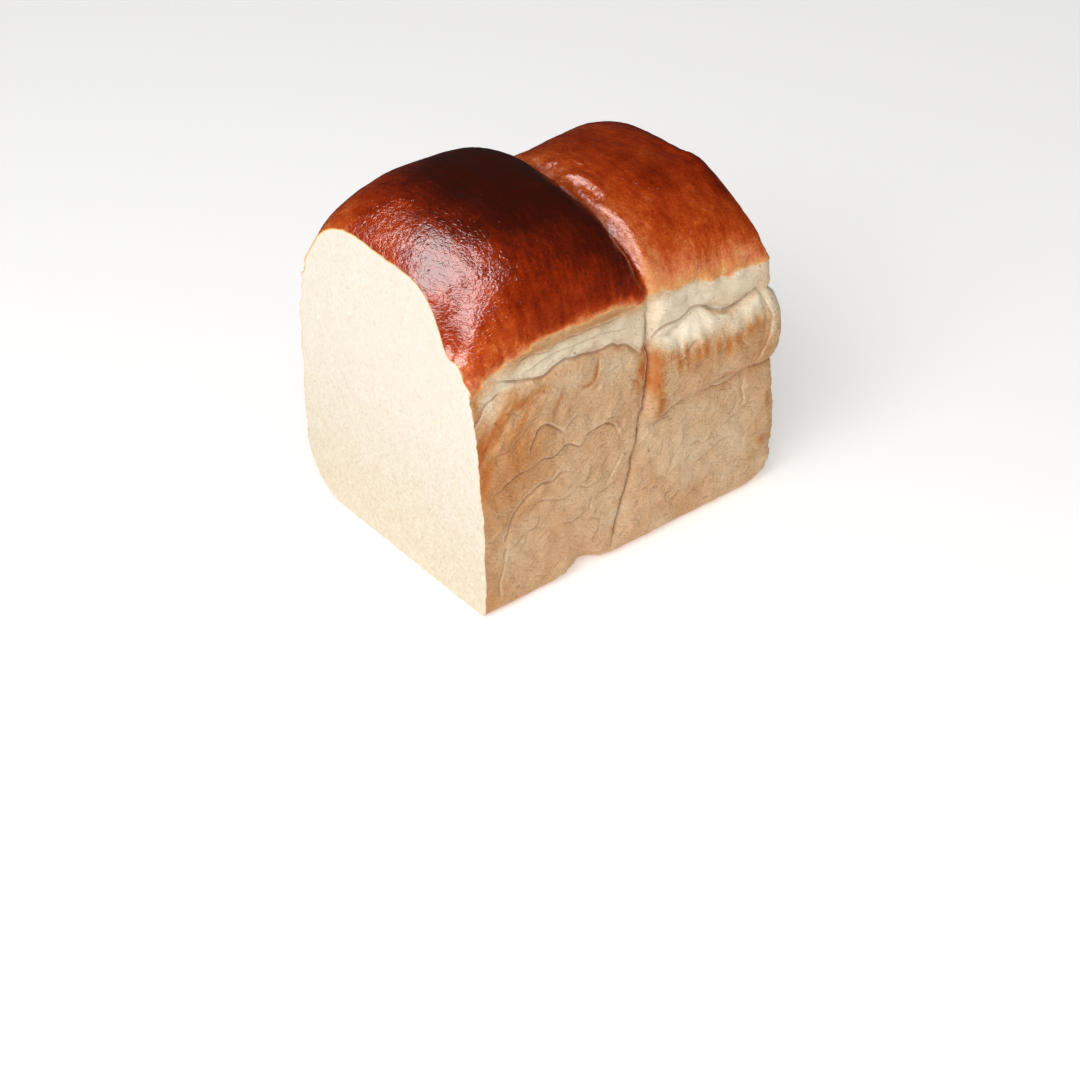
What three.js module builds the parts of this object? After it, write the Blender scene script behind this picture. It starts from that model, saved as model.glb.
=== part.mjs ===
// The end of a tin loaf of white milk bread, cut across, standing on its base.
// It was baked from balls of dough set in a row in an open tin. Two of them are left: a tall one next
// to the cut and a lower one against the end wall of the tin. Each rose over the rim as a hump, with a
// seam between them. Where the dough left the tin it tore and stretched: the tall one has a sunken
// band under its crust, and the low one folded over as a puffy roll.
// The whole is one solid, as crust and crumb are the same bread.
//
// Millimetres. X runs along the loaf from the cut face to the tin's end wall, Y across it, Z up.
// The origin is the middle of the base.

import * as THREE from "three";
import { mergeVertices } from "three/addons/utils/BufferGeometryUtils.js";

// ---- driving sizes -------------------------------------------------------------------------
const LENGTH = 150; // cut face to end wall
const WIDTH = 118; // between the two side walls
const RIM = 104; // height where the bread stood clear of the tin
const HALF_LENGTH = LENGTH / 2;
const HALF_WIDTH = WIDTH / 2;

const TALL = { centre: -37, peak: 156 }; // the hump next to the cut
const LOW = { centre: 44, peak: 140.5 }; // the hump at the end wall
const VALLEY = 129; // height of the seam between them, where it crosses the top
const CUT_TOP = 137; // height of the cut face, close to the next seam of the whole loaf
// How square the flanks of the humps are, seen from the side. 2 is an ellipse, more is boxier.
const FLANK = { tallToCut: 2.8, tallToSeam: 3.3, lowToSeam: 2.4, lowToEnd: 5 };
// And seen from the end, as (1 - across ** inner) ** outer of the height above the rim.
const TALL_BACK = { inner: 2.5, outer: 0.45 };
const TALL_FRONT = { inner: 3, outer: 0.38 };
const CUT_BACK = { inner: 4, outer: 0.85 };
const CUT_FRONT = { inner: 3, outer: 1.25 };
const LOW_BACK = { inner: 2.2, outer: 0.53 };
const LOW_FRONT = { inner: 2.3, outer: 0.5 };

const SEAM_TOP = 10.5; // where along the loaf the seam lies at the rim
const SEAM_FOOT = -14; // and at the base, as the balls of dough lean on each other
const SEAM_BEND = 1.5;
const SEAM_DEPTH = 2.6;
const SEAM_WIDTH = 3.2;

// Two creases run round the sides. On the tall ball of dough the upper one is the foot of a torn
// band under the crust and the lower one a long wrinkle. On the low ball a puffy roll lies between.
const BAND_FOOT = { z: 99, sag: 13, sagFrom: -20, sagOver: 32, dipAtCut: 5 };
const WRINKLE = { zAtCut: 57, z: 64, riseFrom: -72, riseTo: -40, dip: 3, dipX: -26 };
const ROLL_TOP = { z: 93.5, wave: 2.6, waveX: 35, waveStep: 5.5, endDrop: 5 };
const ROLL_FOOT = { z: 61.5, wave: 1.2, waveStep: 6, seamDip: 7 };
const END_FROM = 56; // from here on the creases also wander across the end wall
const CREASE_WIDTH = 2.4;
const BAND_DEPTH = 1.6;
const BAND_TOP = RIM + 8;
const ROLL_HEIGHT = 3.4;
const TONGUE = { x: 67, z: 84, bow: 9, bowOver: 22, depth: 2, width: 2, foot: 60, top: 96 };
const FOOT_BULGE = { z: 18, width: 24, height: 2.8 }; // the end wall swells out near its foot

const SHRINK_FROM = 45; // above this height the cooling walls drew in
const SHRINK = 4; // by this much at the rim
const BACK_BULGE = 3; // but the back wall stands out further

const BASE_RADIUS = 5; // edges round the base
const BACK_BASE_RADIUS = 11;
const CORNER_RADIUS = 6; // the two upright corners of the end wall
const FOOT_LIFT = { x: -25, width: 8, radius: 10 }; // the base edge is rounder under the seam
const BACK_LIFT = { x: -75, width: 18, radius: 8 }; // and at the back, where the cut runs
const CUT_DENT = { y: -40, width: 5, reach: 9, depth: 8 }; // a fold that the cut runs through
const KNOB = { x: 68, y: -9, height: 3, width: 9 }; // a bump on the far shoulder of the low hump

// Segments of the starting box along, across and up. Rows of its upright faces follow two creases
// that run round the loaf: LOW_ROW and HIGH_ROW are their places, as shares of the rows.
const STEPS_X = 40;
const STEPS_Y = 24;
const STEPS_Z = 26;
const LOW_ROW = 13 / STEPS_Z;
const HIGH_ROW = 22 / STEPS_Z;

// ---- small helpers -------------------------------------------------------------------------
const clamp = THREE.MathUtils.clamp;
const smooth = THREE.MathUtils.smoothstep;
const lerp = THREE.MathUtils.lerp;
const bell = (distance, width) => Math.exp(-((distance / width) ** 2));

// 1 in the middle of a stretch, falling off roundly to 0 at its ends.
const swelling = (value, low, high) => Math.sin(Math.PI * clamp((value - low) / (high - low), 0, 1)) ** 0.6;

// Slow, uneven waves, as no dough rises evenly.
function unevenness(a, b, phase) {
  const long = Math.sin(a / 17 + phase) * Math.cos(b / 21 - phase);
  const short = Math.sin(a / 8.5 - b / 13 + 2 * phase);
  return 0.7 * long + 0.3 * short;
}

// ---- the humps -----------------------------------------------------------------------------
const superEllipse = (t, power) => (1 - clamp(Math.abs(t), 0, 1) ** power) ** (1 / power);

// Height of a hump's middle line. Its flank passes through the height edgeZ at edgeX, and is an
// ellipse at power 2 and boxier above it.
function flank(x, hump, edgeX, edgeZ, power) {
  const drop = ((edgeZ - RIM) / (hump.peak - RIM)) ** power;
  const reach = (edgeX - hump.centre) / (1 - drop) ** (1 / power);
  return RIM + (hump.peak - RIM) * superEllipse((x - hump.centre) / reach, power);
}

function crest(x) {
  if (x < TALL.centre) return flank(x, TALL, -HALF_LENGTH, CUT_TOP, FLANK.tallToCut);
  if (x < SEAM_TOP) return flank(x, TALL, SEAM_TOP, VALLEY, FLANK.tallToSeam);
  if (x < LOW.centre) return flank(x, LOW, SEAM_TOP, VALLEY, FLANK.lowToSeam);
  return flank(x, LOW, HALF_LENGTH, RIM, FLANK.lowToEnd);
}

// Height of the top: round across a hump, with sloping shoulders near the cut, most at the front.
// The tall hump is fuller at the front than at the back, and the low one is rounder.
function topHeight(x, y, halfWidth) {
  const nearCut = clamp((TALL.centre - x) / (TALL.centre + HALF_LENGTH), 0, 1) ** 3;
  const onLow = smooth(x, SEAM_TOP - 4, SEAM_TOP + 12);
  const front = smooth(-y, -10, 10);
  const blend = (key) => {
    const tall = lerp(TALL_BACK[key], TALL_FRONT[key], front);
    const cut = lerp(CUT_BACK[key], CUT_FRONT[key], front);
    return lerp(lerp(tall, cut, nearCut), lerp(LOW_BACK[key], LOW_FRONT[key], front), onLow);
  };
  const across = clamp(Math.abs(y) / halfWidth, 0, 1);
  const dent = CUT_DENT.depth * bell(x + HALF_LENGTH, CUT_DENT.reach) * bell(y - CUT_DENT.y, CUT_DENT.width);
  const knob = KNOB.height * bell(Math.hypot(x - KNOB.x, y - KNOB.y), KNOB.width);
  const height = (crest(x) - RIM) * (1 - across ** blend("inner")) ** blend("outer");
  return RIM + Math.max(height - dent, 0.3 * height) + knob * smooth(height, 0, 20);
}

// ---- the body in the tin -------------------------------------------------------------------
function seamX(z) {
  const drop = clamp((RIM - z) / RIM, 0, 1);
  return lerp(SEAM_TOP, SEAM_FOOT, drop ** SEAM_BEND);
}

const beyondSeam = (x, z) => smooth(x, seamX(z) - 3, seamX(z) + 5);

// How far a crease wanders across the end wall. It is back in line at both corners.
const atEndWall = (x, y, height) =>
  height * Math.cos((Math.PI * y) / WIDTH) * smooth(x, END_FROM, HALF_LENGTH);

function upperCrease(x, y) {
  const sag = BAND_FOOT.sag * clamp((x - BAND_FOOT.sagFrom) / BAND_FOOT.sagOver, 0, 1) ** 2;
  const tall = BAND_FOOT.z - sag - BAND_FOOT.dipAtCut * bell(x + HALF_LENGTH, 7);
  const wave = ROLL_TOP.wave * Math.cos((x - ROLL_TOP.waveX) / ROLL_TOP.waveStep);
  const low = ROLL_TOP.z + wave - ROLL_TOP.endDrop * smooth(x, END_FROM + 4, HALF_LENGTH);
  return lerp(tall, low, beyondSeam(x, BAND_FOOT.z - 11)) + atEndWall(x, y, 3 * Math.sin(y / 15));
}

function lowerCrease(x, y) {
  const rise = lerp(WRINKLE.zAtCut, WRINKLE.z, smooth(x, WRINKLE.riseFrom, WRINKLE.riseTo));
  const tall = rise - WRINKLE.dip * bell(x - WRINKLE.dipX, 5);
  const wave = ROLL_FOOT.wave * Math.sin(x / ROLL_FOOT.waveStep);
  const low = ROLL_FOOT.z + wave - ROLL_FOOT.seamDip * bell(x - SEAM_TOP, 7);
  return lerp(tall, low, beyondSeam(x, WRINKLE.zAtCut)) + atEndWall(x, y, 4 * Math.cos(y / 19 + 1));
}

// Height of a row of the upright faces, from its share of the way up.
function rowHeight(share, x, y) {
  const low = lowerCrease(x, y);
  const high = upperCrease(x, y);
  if (share < LOW_ROW) return (low * share) / LOW_ROW;
  if (share < HIGH_ROW) return lerp(low, high, (share - LOW_ROW) / (HIGH_ROW - LOW_ROW));
  return lerp(high, RIM, (share - HIGH_ROW) / (1 - HIGH_ROW));
}

function halfWidthAt(z, side) {
  const drawnIn = SHRINK * clamp((z - SHRINK_FROM) / (RIM - SHRINK_FROM), 0, 1) ** 1.6;
  const bulge = side > 0 ? BACK_BULGE * bell(z - 60, 60) : 0;
  return HALF_WIDTH - drawnIn + bulge;
}

// Rounds the edges: in the corner zone a square block's surface is pulled onto a ball.
function roundEdges(p, halfWidth) {
  const lift = p.y < 0 ? FOOT_LIFT : BACK_LIFT;
  const base = (p.y < 0 ? BASE_RADIUS : BACK_BASE_RADIUS) + lift.radius * bell(p.x - lift.x, lift.width);
  const radius = new THREE.Vector3(CORNER_RADIUS, base, base);
  radius.y = lerp(radius.y, CORNER_RADIUS, smooth(p.x, HALF_LENGTH - 3 * CORNER_RADIUS, HALF_LENGTH));
  const past = new THREE.Vector3(
    clamp((p.x - HALF_LENGTH + radius.x) / radius.x, 0, 1),
    clamp((Math.abs(p.y) - halfWidth + radius.y) / radius.y, 0, 1),
    clamp((radius.z - p.z) / radius.z, 0, 1),
  );
  const pull = past.length() > 0 ? Math.max(past.x, past.y, past.z) / past.length() : 1;
  if (past.x > 0) p.x = HALF_LENGTH - radius.x + radius.x * past.x * pull;
  if (past.y > 0) p.y = Math.sign(p.y) * (halfWidth - radius.y + radius.y * past.y * pull);
  if (past.z > 0) p.z = radius.z - radius.z * past.z * pull;
}

// Moves a point of the starting box, which runs from -1 to 1 each way, to its place on the loaf.
// The box's middle column of edges becomes the seam.
function shapePoint(p) {
  const isTop = p.z > 1 - 1e-6;
  const share = (p.z + 1) / 2;
  const toEnds = lerp(Math.abs(p.x), (1 - Math.cos(Math.PI * p.x)) / 2, 0.45);
  const across = lerp(p.y, Math.sin((Math.PI * p.y) / 2), 0.8);
  const end = Math.sign(p.x) * HALF_LENGTH;
  const z = rowHeight(share, lerp(seamX(RIM * share), end, toEnds), HALF_WIDTH * across);
  const x = lerp(seamX(z), end, toEnds);
  const halfWidth = halfWidthAt(z, Math.sign(p.y));
  const y = halfWidth * across;
  p.set(x, y, isTop ? topHeight(x, y, halfWidth) : z);
  roundEdges(p, halfWidth);
}

// ---- relief of the crust -------------------------------------------------------------------
// The tall ball's side: a sunken band above its upper crease, a flat wall below it.
function tallSideRelief(x, y, z) {
  const foot = upperCrease(x, y);
  const band = -BAND_DEPTH * swelling(z, foot, BAND_TOP);
  return band - 2.4 * bell(z - foot, CREASE_WIDTH) - 1.4 * bell(z - lowerCrease(x, y), CREASE_WIDTH);
}

// The low ball's side and the end wall: a puffy roll between the two creases.
function rollRelief(x, y, z) {
  const low = lowerCrease(x, y);
  const high = upperCrease(x, y);
  const creases = -2.2 * bell(z - high, CREASE_WIDTH) - 1.4 * bell(z - low, CREASE_WIDTH);
  return ROLL_HEIGHT * swelling(z, low, high) + creases;
}

// The roll ends in a rounded tongue shortly before the corner of the tin.
function tongueRelief(x, z) {
  const edge = TONGUE.x - TONGUE.bow * ((z - TONGUE.z) / TONGUE.bowOver) ** 2;
  return -TONGUE.depth * bell(x - edge, TONGUE.width) * swelling(z, TONGUE.foot, TONGUE.top);
}

function sideRelief(x, y, z) {
  const seam = -SEAM_DEPTH * lerp(0.6, 1, clamp(z / RIM, 0, 1)) * bell(x - seamX(z), SEAM_WIDTH);
  const dough = lerp(tallSideRelief(x, y, z), rollRelief(x, y, z), beyondSeam(x, z));
  return dough + seam + tongueRelief(x, z) + unevenness(x, z, 1.7 + Math.sign(y));
}

function endRelief(x, y, z) {
  const footBulge = FOOT_BULGE.height * bell(z - FOOT_BULGE.z, FOOT_BULGE.width);
  return rollRelief(x, y, z) + footBulge + unevenness(y, z, 4.1) - 0.8;
}

// Outward offset at a point of the crust, where normal is the way it faces.
function relief(p, normal) {
  const aboveBase = smooth(p.z, 1, 2 * BASE_RADIUS);
  const belowDome = 1 - smooth(p.z, RIM + 8, RIM + 20);
  const side = normal.y ** 2 * sideRelief(p.x, p.y, p.z);
  const end = Math.max(normal.x, 0) ** 2 * endRelief(p.x, p.y, p.z);
  const dome = Math.max(normal.z, 0) * unevenness(p.x, p.y, 0.6);
  return aboveBase * (belowDome * (side + end) + dome);
}

// ---- the solid -----------------------------------------------------------------------------
function loafGeometry() {
  const geometry = new THREE.BoxGeometry(2, 2, 2, STEPS_X, STEPS_Y, STEPS_Z);
  const box = geometry.attributes.position;
  const point = new THREE.Vector3();
  for (let i = 0; i < box.count; i++) {
    shapePoint(point.fromBufferAttribute(box, i));
    box.setXYZ(i, point.x, point.y, point.z);
  }
  geometry.deleteAttribute("normal");
  geometry.deleteAttribute("uv");
  const loaf = mergeVertices(geometry, 1e-3);
  loaf.computeVertexNormals();

  const place = loaf.attributes.position;
  const facing = loaf.attributes.normal;
  const normal = new THREE.Vector3();
  for (let i = 0; i < place.count; i++) {
    point.fromBufferAttribute(place, i);
    normal.fromBufferAttribute(facing, i);
    const onCut = point.x < 1e-3 - HALF_LENGTH;
    if (onCut) normal.setX(0).normalize();
    const inCut = onCut && Math.abs(point.y) < halfWidthAt(point.z, point.y) - 0.1 && point.z < RIM - 0.1;
    if (!inCut) point.addScaledVector(normal, relief(point, normal));
    place.setXYZ(i, onCut ? -HALF_LENGTH : point.x, point.y, Math.max(point.z, 0));
  }

  loaf.computeBoundingBox();
  const middle = loaf.boundingBox.getCenter(new THREE.Vector3());
  loaf.translate(-middle.x, -middle.y, -loaf.boundingBox.min.z);
  loaf.computeVertexNormals();
  return loaf;
}

const bakedBread = new THREE.MeshStandardMaterial({ color: 0xb98253, roughness: 0.6, metalness: 0 });

const loaf = new THREE.Mesh(loafGeometry(), bakedBread);
loaf.name = "loaf";

const tinLoaf = new THREE.Group();
tinLoaf.add(loaf);

export default tinLoaf;
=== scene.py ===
# %% [markdown]
# # The end of a tin loaf, from dough to bread knife
#
# A tin loaf is shaped twice. The tin makes the flat part: base, side walls and end wall come out
# straight and square. The oven makes the rest: the balls of dough rise over the rim as round humps,
# tear open just above it, and brown and shine on top.
#
# So this lesson works in a baker's order. A block of dough is filled into the tin, it rises, the
# crust wrinkles, a knife cuts the loaf across, and only then comes the colour. All of it is one
# piece of bread, because a real loaf has no parts to take off.
#
# The construction model is loaded first. It is the fixed frame: it says where the loaf stands and
# how large it is, and the dressed loaf has to fill the same space.

# %% Start from the fixed frame
import math

import bpy
import numpy as np
from mathutils import Matrix, Vector, kdtree


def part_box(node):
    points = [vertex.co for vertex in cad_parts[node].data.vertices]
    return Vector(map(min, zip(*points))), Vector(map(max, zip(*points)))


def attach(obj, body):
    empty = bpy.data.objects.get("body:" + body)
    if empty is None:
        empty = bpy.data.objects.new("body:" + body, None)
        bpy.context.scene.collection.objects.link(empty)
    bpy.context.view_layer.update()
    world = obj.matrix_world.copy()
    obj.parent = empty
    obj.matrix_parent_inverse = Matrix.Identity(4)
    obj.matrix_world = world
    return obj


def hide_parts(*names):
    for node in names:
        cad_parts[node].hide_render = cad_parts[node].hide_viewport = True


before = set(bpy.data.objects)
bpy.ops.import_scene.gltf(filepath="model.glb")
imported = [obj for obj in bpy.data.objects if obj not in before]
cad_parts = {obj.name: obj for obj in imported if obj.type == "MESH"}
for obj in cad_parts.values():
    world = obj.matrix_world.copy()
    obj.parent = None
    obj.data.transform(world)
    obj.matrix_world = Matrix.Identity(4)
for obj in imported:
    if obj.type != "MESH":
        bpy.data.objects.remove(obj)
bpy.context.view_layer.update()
LOW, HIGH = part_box("loaf")
MM = 0.001
print("the loaf's box in mm:", [round(v / MM, 1) for v in (HIGH - LOW)])

# %% [markdown]
# ## Where the camera stands
#
# The camera comes first, because every later choice is judged through it. It looks down on the loaf
# from the front left with a long lens, so that the cut face, one side wall and both humps show.
# A camera can be placed by hand, but an aim point, a distance and two angles are easier to adjust.

# %% Camera
AIM = Vector((-31.6, -36.8, 3.5)) * MM
CAMERA_DISTANCE = 1150 * MM
CAMERA_AZIMUTH = math.radians(-37.57)
CAMERA_ELEVATION = math.radians(37.38)
CAMERA_ROLL = math.radians(-1.27)
LENS = 95.07
SENSOR = 36


def direction(azimuth, elevation):
    """The unit vector towards a place round the loaf. Azimuth 0 is in front, 90 is on the right."""
    flat = math.cos(elevation)
    return Vector((math.sin(azimuth) * flat, -math.cos(azimuth) * flat, math.sin(elevation)))


def look_from(place, aim, roll=0.0):
    """A matrix that puts a camera or light at a place and turns it towards its aim."""
    back = (place - aim).normalized()
    right = Vector((0, 0, 1)).cross(back).normalized()
    up = back.cross(right)
    turned_right = right * math.cos(roll) + up * math.sin(roll)
    turned_up = up * math.cos(roll) - right * math.sin(roll)
    turn = Matrix((turned_right, turned_up, back)).transposed()
    return Matrix.Translation(place) @ turn.to_4x4()


bpy.ops.object.camera_add()
camera = bpy.context.object
camera.data.lens = LENS
camera.data.sensor_width = SENSOR
camera.data.clip_end = 20
standpoint = AIM + CAMERA_DISTANCE * direction(CAMERA_AZIMUTH, CAMERA_ELEVATION)
camera.matrix_world = look_from(standpoint, AIM, CAMERA_ROLL)
bpy.context.scene.camera = camera
print("camera at", [round(v / MM) for v in standpoint], "mm")

# %% [markdown]
# ## Table and light
#
# Two things have to be lit here: pale crumb, which soon turns flat white, and dark glaze, which only
# looks glossy if it has something bright and large to mirror. One lamp can't please both. So a soft
# panel at the left lights the bread, and a brighter one in the same place is seen by reflections
# only. The room is bright for the bread and dim in its mirror image, or it would veil the dark crust.


# %% Table, room and soft panels
HEART = Vector((0, 0, 80 * MM))  # the panels face this point, about halfway up the loaf
TABLE_SIZE = 6


def soft_panel(name, azimuth, elevation, distance, size, watts):
    bpy.ops.object.light_add(type="AREA")
    panel = bpy.context.object
    panel.name = name
    panel.data.shape = "RECTANGLE"
    panel.data.size, panel.data.size_y = size
    panel.data.energy = watts
    place = HEART + distance * direction(math.radians(azimuth), math.radians(elevation))
    panel.matrix_world = look_from(place, HEART)
    return panel


key = soft_panel("key_panel", azimuth=-62, elevation=46, distance=1.1, size=(0.9, 0.8), watts=9.8)
key.visible_glossy = False
shine = soft_panel("shine_panel", azimuth=-87, elevation=42, distance=1.1, size=(1.6, 1.24), watts=71)
shine.visible_diffuse = False
fill = soft_panel("fill_panel", azimuth=25, elevation=30, distance=1.6, size=(1.6, 1.2), watts=1.1)
fill.visible_glossy = False

bpy.ops.mesh.primitive_plane_add(size=TABLE_SIZE)
table = bpy.context.object
table.name = "table"
table.visible_glossy = False

ROOM_LIGHT = 0.26
ROOM_IN_MIRROR = 0.03
ROOM_SEEN = 0.85
room = bpy.data.worlds.new("soft_room")
room.use_nodes = True
bpy.context.scene.world = room
background = room.node_tree.nodes["Background"]
ray = room.node_tree.nodes.new("ShaderNodeLightPath")
background.inputs["Strength"].default_value = ROOM_LIGHT
strength = background.inputs["Strength"]
for kind, amount in (("Is Glossy Ray", ROOM_IN_MIRROR), ("Is Camera Ray", ROOM_SEEN)):
    choice = room.node_tree.nodes.new("ShaderNodeMapRange")
    choice.inputs["To Min"].default_value = ROOM_LIGHT
    choice.inputs["To Max"].default_value = amount
    room.node_tree.links.new(ray.outputs[kind], choice.inputs["Value"])
    if strength.is_linked:
        room.node_tree.links.new(strength.links[0].from_socket, choice.inputs["To Min"])
    room.node_tree.links.new(choice.outputs[0], strength)
background.inputs["Color"].default_value = (1, 1, 1, 1)
bpy.context.scene.view_settings.view_transform = "Standard"
print("lit by", key.name, "and", fill.name, "with", shine.name, "in the mirror")

# %% [markdown]
# ## A few words of mathematics
#
# Dough has no corners, so almost every shape here is made of four soft curves: a bell, a smooth step,
# a swelling and a mix. Uneven nature comes from ripples: many waves in random directions, added
# together. They come from a seeded generator, so that each run bakes the same loaf.


# %% Soft curves and ripples
def clamp(value, low=0.0, high=1.0):
    return np.clip(value, low, high)


def smooth(value, low, high):
    """0 below low, 1 above high, and a soft step between."""
    t = clamp((value - low) / (high - low))
    return t * t * (3 - 2 * t)


def lerp(a, b, t):
    return a + (b - a) * t


def bell(distance, width):
    return np.exp(-((distance / width) ** 2))


def swelling(value, low, high):
    """1 in the middle of a stretch, falling off roundly to 0 at its ends."""
    return clamp(np.sin(np.pi * clamp((value - low) / (high - low)))) ** 0.6


def ripples(points, size, seed, stretch=(1, 1, 1), waves=36):
    """An uneven field between about -2 and 2, with bumps of the given size in mm."""
    rng = np.random.default_rng(seed)
    ways = rng.normal(size=(waves, 3))
    ways /= np.linalg.norm(ways, axis=1)[:, None]
    ways *= rng.uniform(0.6, 1.5, waves)[:, None] * 2 * np.pi / (2 * size) / np.array(stretch)
    starts = rng.uniform(0, 2 * np.pi, waves)
    return np.sin(points @ ways.T + starts).sum(1) * math.sqrt(2 / waves)


# %% [markdown]
# ## The tin and what rose out of it
#
# Sizes are in millimetres, measured in the tin: x runs from the cut to the tin's end wall, y across,
# z up. Two balls of dough are left, a tall one next to the cut and a low one at the end. Their middle
# line is drawn as superellipses, curves between an ellipse and a box, because a hump held by a tin is
# squarer than a ball.

# %% Sizes of the tin and the humps
HALF_LENGTH = 75.0
HALF_WIDTH = 59.0
RIM = 104.0
DOUGH_START = -79.0  # the loaf went on here. A few millimetres are modelled and cut away again
TALL = {"centre": -38.5, "peak": 155.8}
LOWER = {"centre": 43.0, "peak": 139.2}
VALLEY = 129.0
CUT_TOP = 139.5
SEAM_TOP = 10.5
SEAM_FOOT = -14.0
SHRINK_FROM = 45.0
SHRINK = 4.0
BACK_BULGE = 3.0
BASE_RADIUS = 5.0
BACK_BASE_RADIUS = 11.0
CORNER_RADIUS = 6.0
TOP_STANDS_IN = 2.2  # how far the low hump's top stands in from the end wall


def flank(x, hump, edge_x, edge_z, power):
    """Height of a hump's middle line, with a flank that passes through edge_z at edge_x."""
    drop = ((edge_z - RIM) / (hump["peak"] - RIM)) ** power
    reach = (edge_x - hump["centre"]) / (1 - drop) ** (1 / power)
    part = clamp(np.abs((x - hump["centre"]) / reach))
    return RIM + (hump["peak"] - RIM) * (1 - part**power) ** (1 / power)


def crest(x):
    return np.select(
        [x < TALL["centre"], x < SEAM_TOP, x < LOWER["centre"]],
        [
            flank(x, TALL, -HALF_LENGTH, CUT_TOP, 2.8),
            flank(x, TALL, SEAM_TOP, VALLEY, 3.1),
            flank(x, LOWER, SEAM_TOP, VALLEY, 2.7),
        ],
        flank(x, LOWER, HALF_LENGTH, RIM, 4.6),
    )


def half_width(z, back):
    """Half the loaf's width at a height. The cooling walls drew in, the back one bulges."""
    drawn_in = SHRINK * clamp((z - SHRINK_FROM) / (RIM - SHRINK_FROM)) ** 1.6
    return HALF_WIDTH - drawn_in + back * BACK_BULGE * bell(z - 60, 60)


def top_height(x, y, width):
    """Height of the risen top. Its shoulders slope near the cut, where the next seam begins."""
    near_cut = clamp((TALL["centre"] - x) / (TALL["centre"] + HALF_LENGTH)) ** 3
    on_lower = smooth(x, SEAM_TOP - 4, SEAM_TOP + 12)
    front = smooth(-y, -10, 10)
    inner = lerp(lerp(lerp(2.5, 3, front), lerp(4, 3, front), near_cut), lerp(2.2, 2.3, front), on_lower)
    tall_outer = lerp(lerp(0.45, 0.38, front), lerp(1.1, 1.4, front), near_cut)
    outer = lerp(tall_outer, lerp(0.53, 0.5, front), on_lower)
    across = clamp(np.abs(y) / width)
    dent = 8 * bell(x + HALF_LENGTH, 6) * bell(y + 40, 4.5)
    lumps = 2.0 * bell(np.hypot(x - 67, y + 18), 8) - 1.2 * bell(np.hypot(x - 59, y + 9), 6)
    lumps += 1.8 * bell(np.hypot((x - 46) / 18, (y - 32) / 13), 1) - 2 * bell(np.hypot(x - 70, y + 44), 17)
    height = (crest(x) - RIM) * (1 - across**inner) ** outer
    return RIM + np.maximum(height - dent, 0.3 * height) + lumps * smooth(height, 0, 20)


# %% [markdown]
# ## A block of dough
#
# A loaf could be pushed out of a cube with a few soft brushes. Here a cube is subdivided in edit mode,
# one set of parallel edges at a time, and its points are laid onto the curves. The lid of the cube
# becomes the risen top. Its rows are spaced by arc length, so that the steep shoulders get as many
# points as the flat middle.

# %% Subdivide a cube and let it rise
COLUMNS, ROWS_ACROSS, ROWS_UP = 170, 120, 70


def pick(piece, kind="VERT"):
    """Makes one piece active, with nothing selected in it and points, edges or faces to pick."""
    bpy.ops.object.select_all(action="DESELECT")
    piece.select_set(True)
    bpy.context.view_layer.objects.active = piece
    bpy.ops.object.mode_set(mode="EDIT")
    bpy.ops.mesh.select_mode(type=kind)
    bpy.ops.mesh.select_all(action="DESELECT")
    bpy.ops.object.mode_set(mode="OBJECT")


def select_edges_along(piece, axis):
    """Selects the edges of a block that run along one axis."""
    pick(piece, "EDGE")
    for edge in piece.data.edges:
        a, b = (piece.data.vertices[i].co for i in edge.vertices)
        edge.select = abs((b - a).normalized()[axis]) > 0.9
    bpy.ops.object.mode_set(mode="EDIT")


def coordinates(piece):
    """All the points of a piece in mm, as rows of x, y, z."""
    flat = np.empty(len(piece.data.vertices) * 3)
    piece.data.vertices.foreach_get("co", flat)
    return flat.reshape(-1, 3) / MM


def place_points(piece, points):
    piece.data.vertices.foreach_set("co", (points * MM).ravel())
    piece.data.update()


def even_steps(share, line_x, line_y):
    """Where on a curve each share of its length lies, as values of line_x."""
    arc = np.concatenate(([0], np.cumsum(np.hypot(np.diff(line_x), np.diff(line_y)))))
    return np.interp(share, arc / arc[-1], line_x)


def let_rise(box):
    """Lays the points of a cube from -1 to 1 onto the loaf."""
    column = (box[:, 0] + 1) / 2
    fine = np.linspace(0, 1, 4001)
    line_x = lerp(DOUGH_START, HALF_LENGTH, np.sin(np.pi / 2 * fine))
    x = even_steps(column, line_x, crest(line_x))
    z = RIM * (box[:, 2] + 1) / 2
    back = box[:, 1] > 0
    y = half_width(z, back) * box[:, 1]
    lid = box[:, 2] > 1 - 1e-6
    spread = np.sin(np.pi / 2 * np.sin(np.pi / 2 * np.linspace(-1, 1, 801)))
    for place in np.unique(np.round(column, 6)):
        row = lid & (np.abs(column - place) < 1e-5)
        at = x[row][0]
        width = half_width(RIM, spread > 0)
        line_y = width * spread
        y[row] = even_steps((box[row, 1] + 1) / 2, line_y, top_height(at, line_y, width))
        z[row] = top_height(x[row], y[row], half_width(RIM, y[row] > 0))
    x -= TOP_STANDS_IN * smooth(x, 56, HALF_LENGTH) * smooth(z, 98, 108)
    return np.stack([x, y, z], axis=1)


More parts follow.
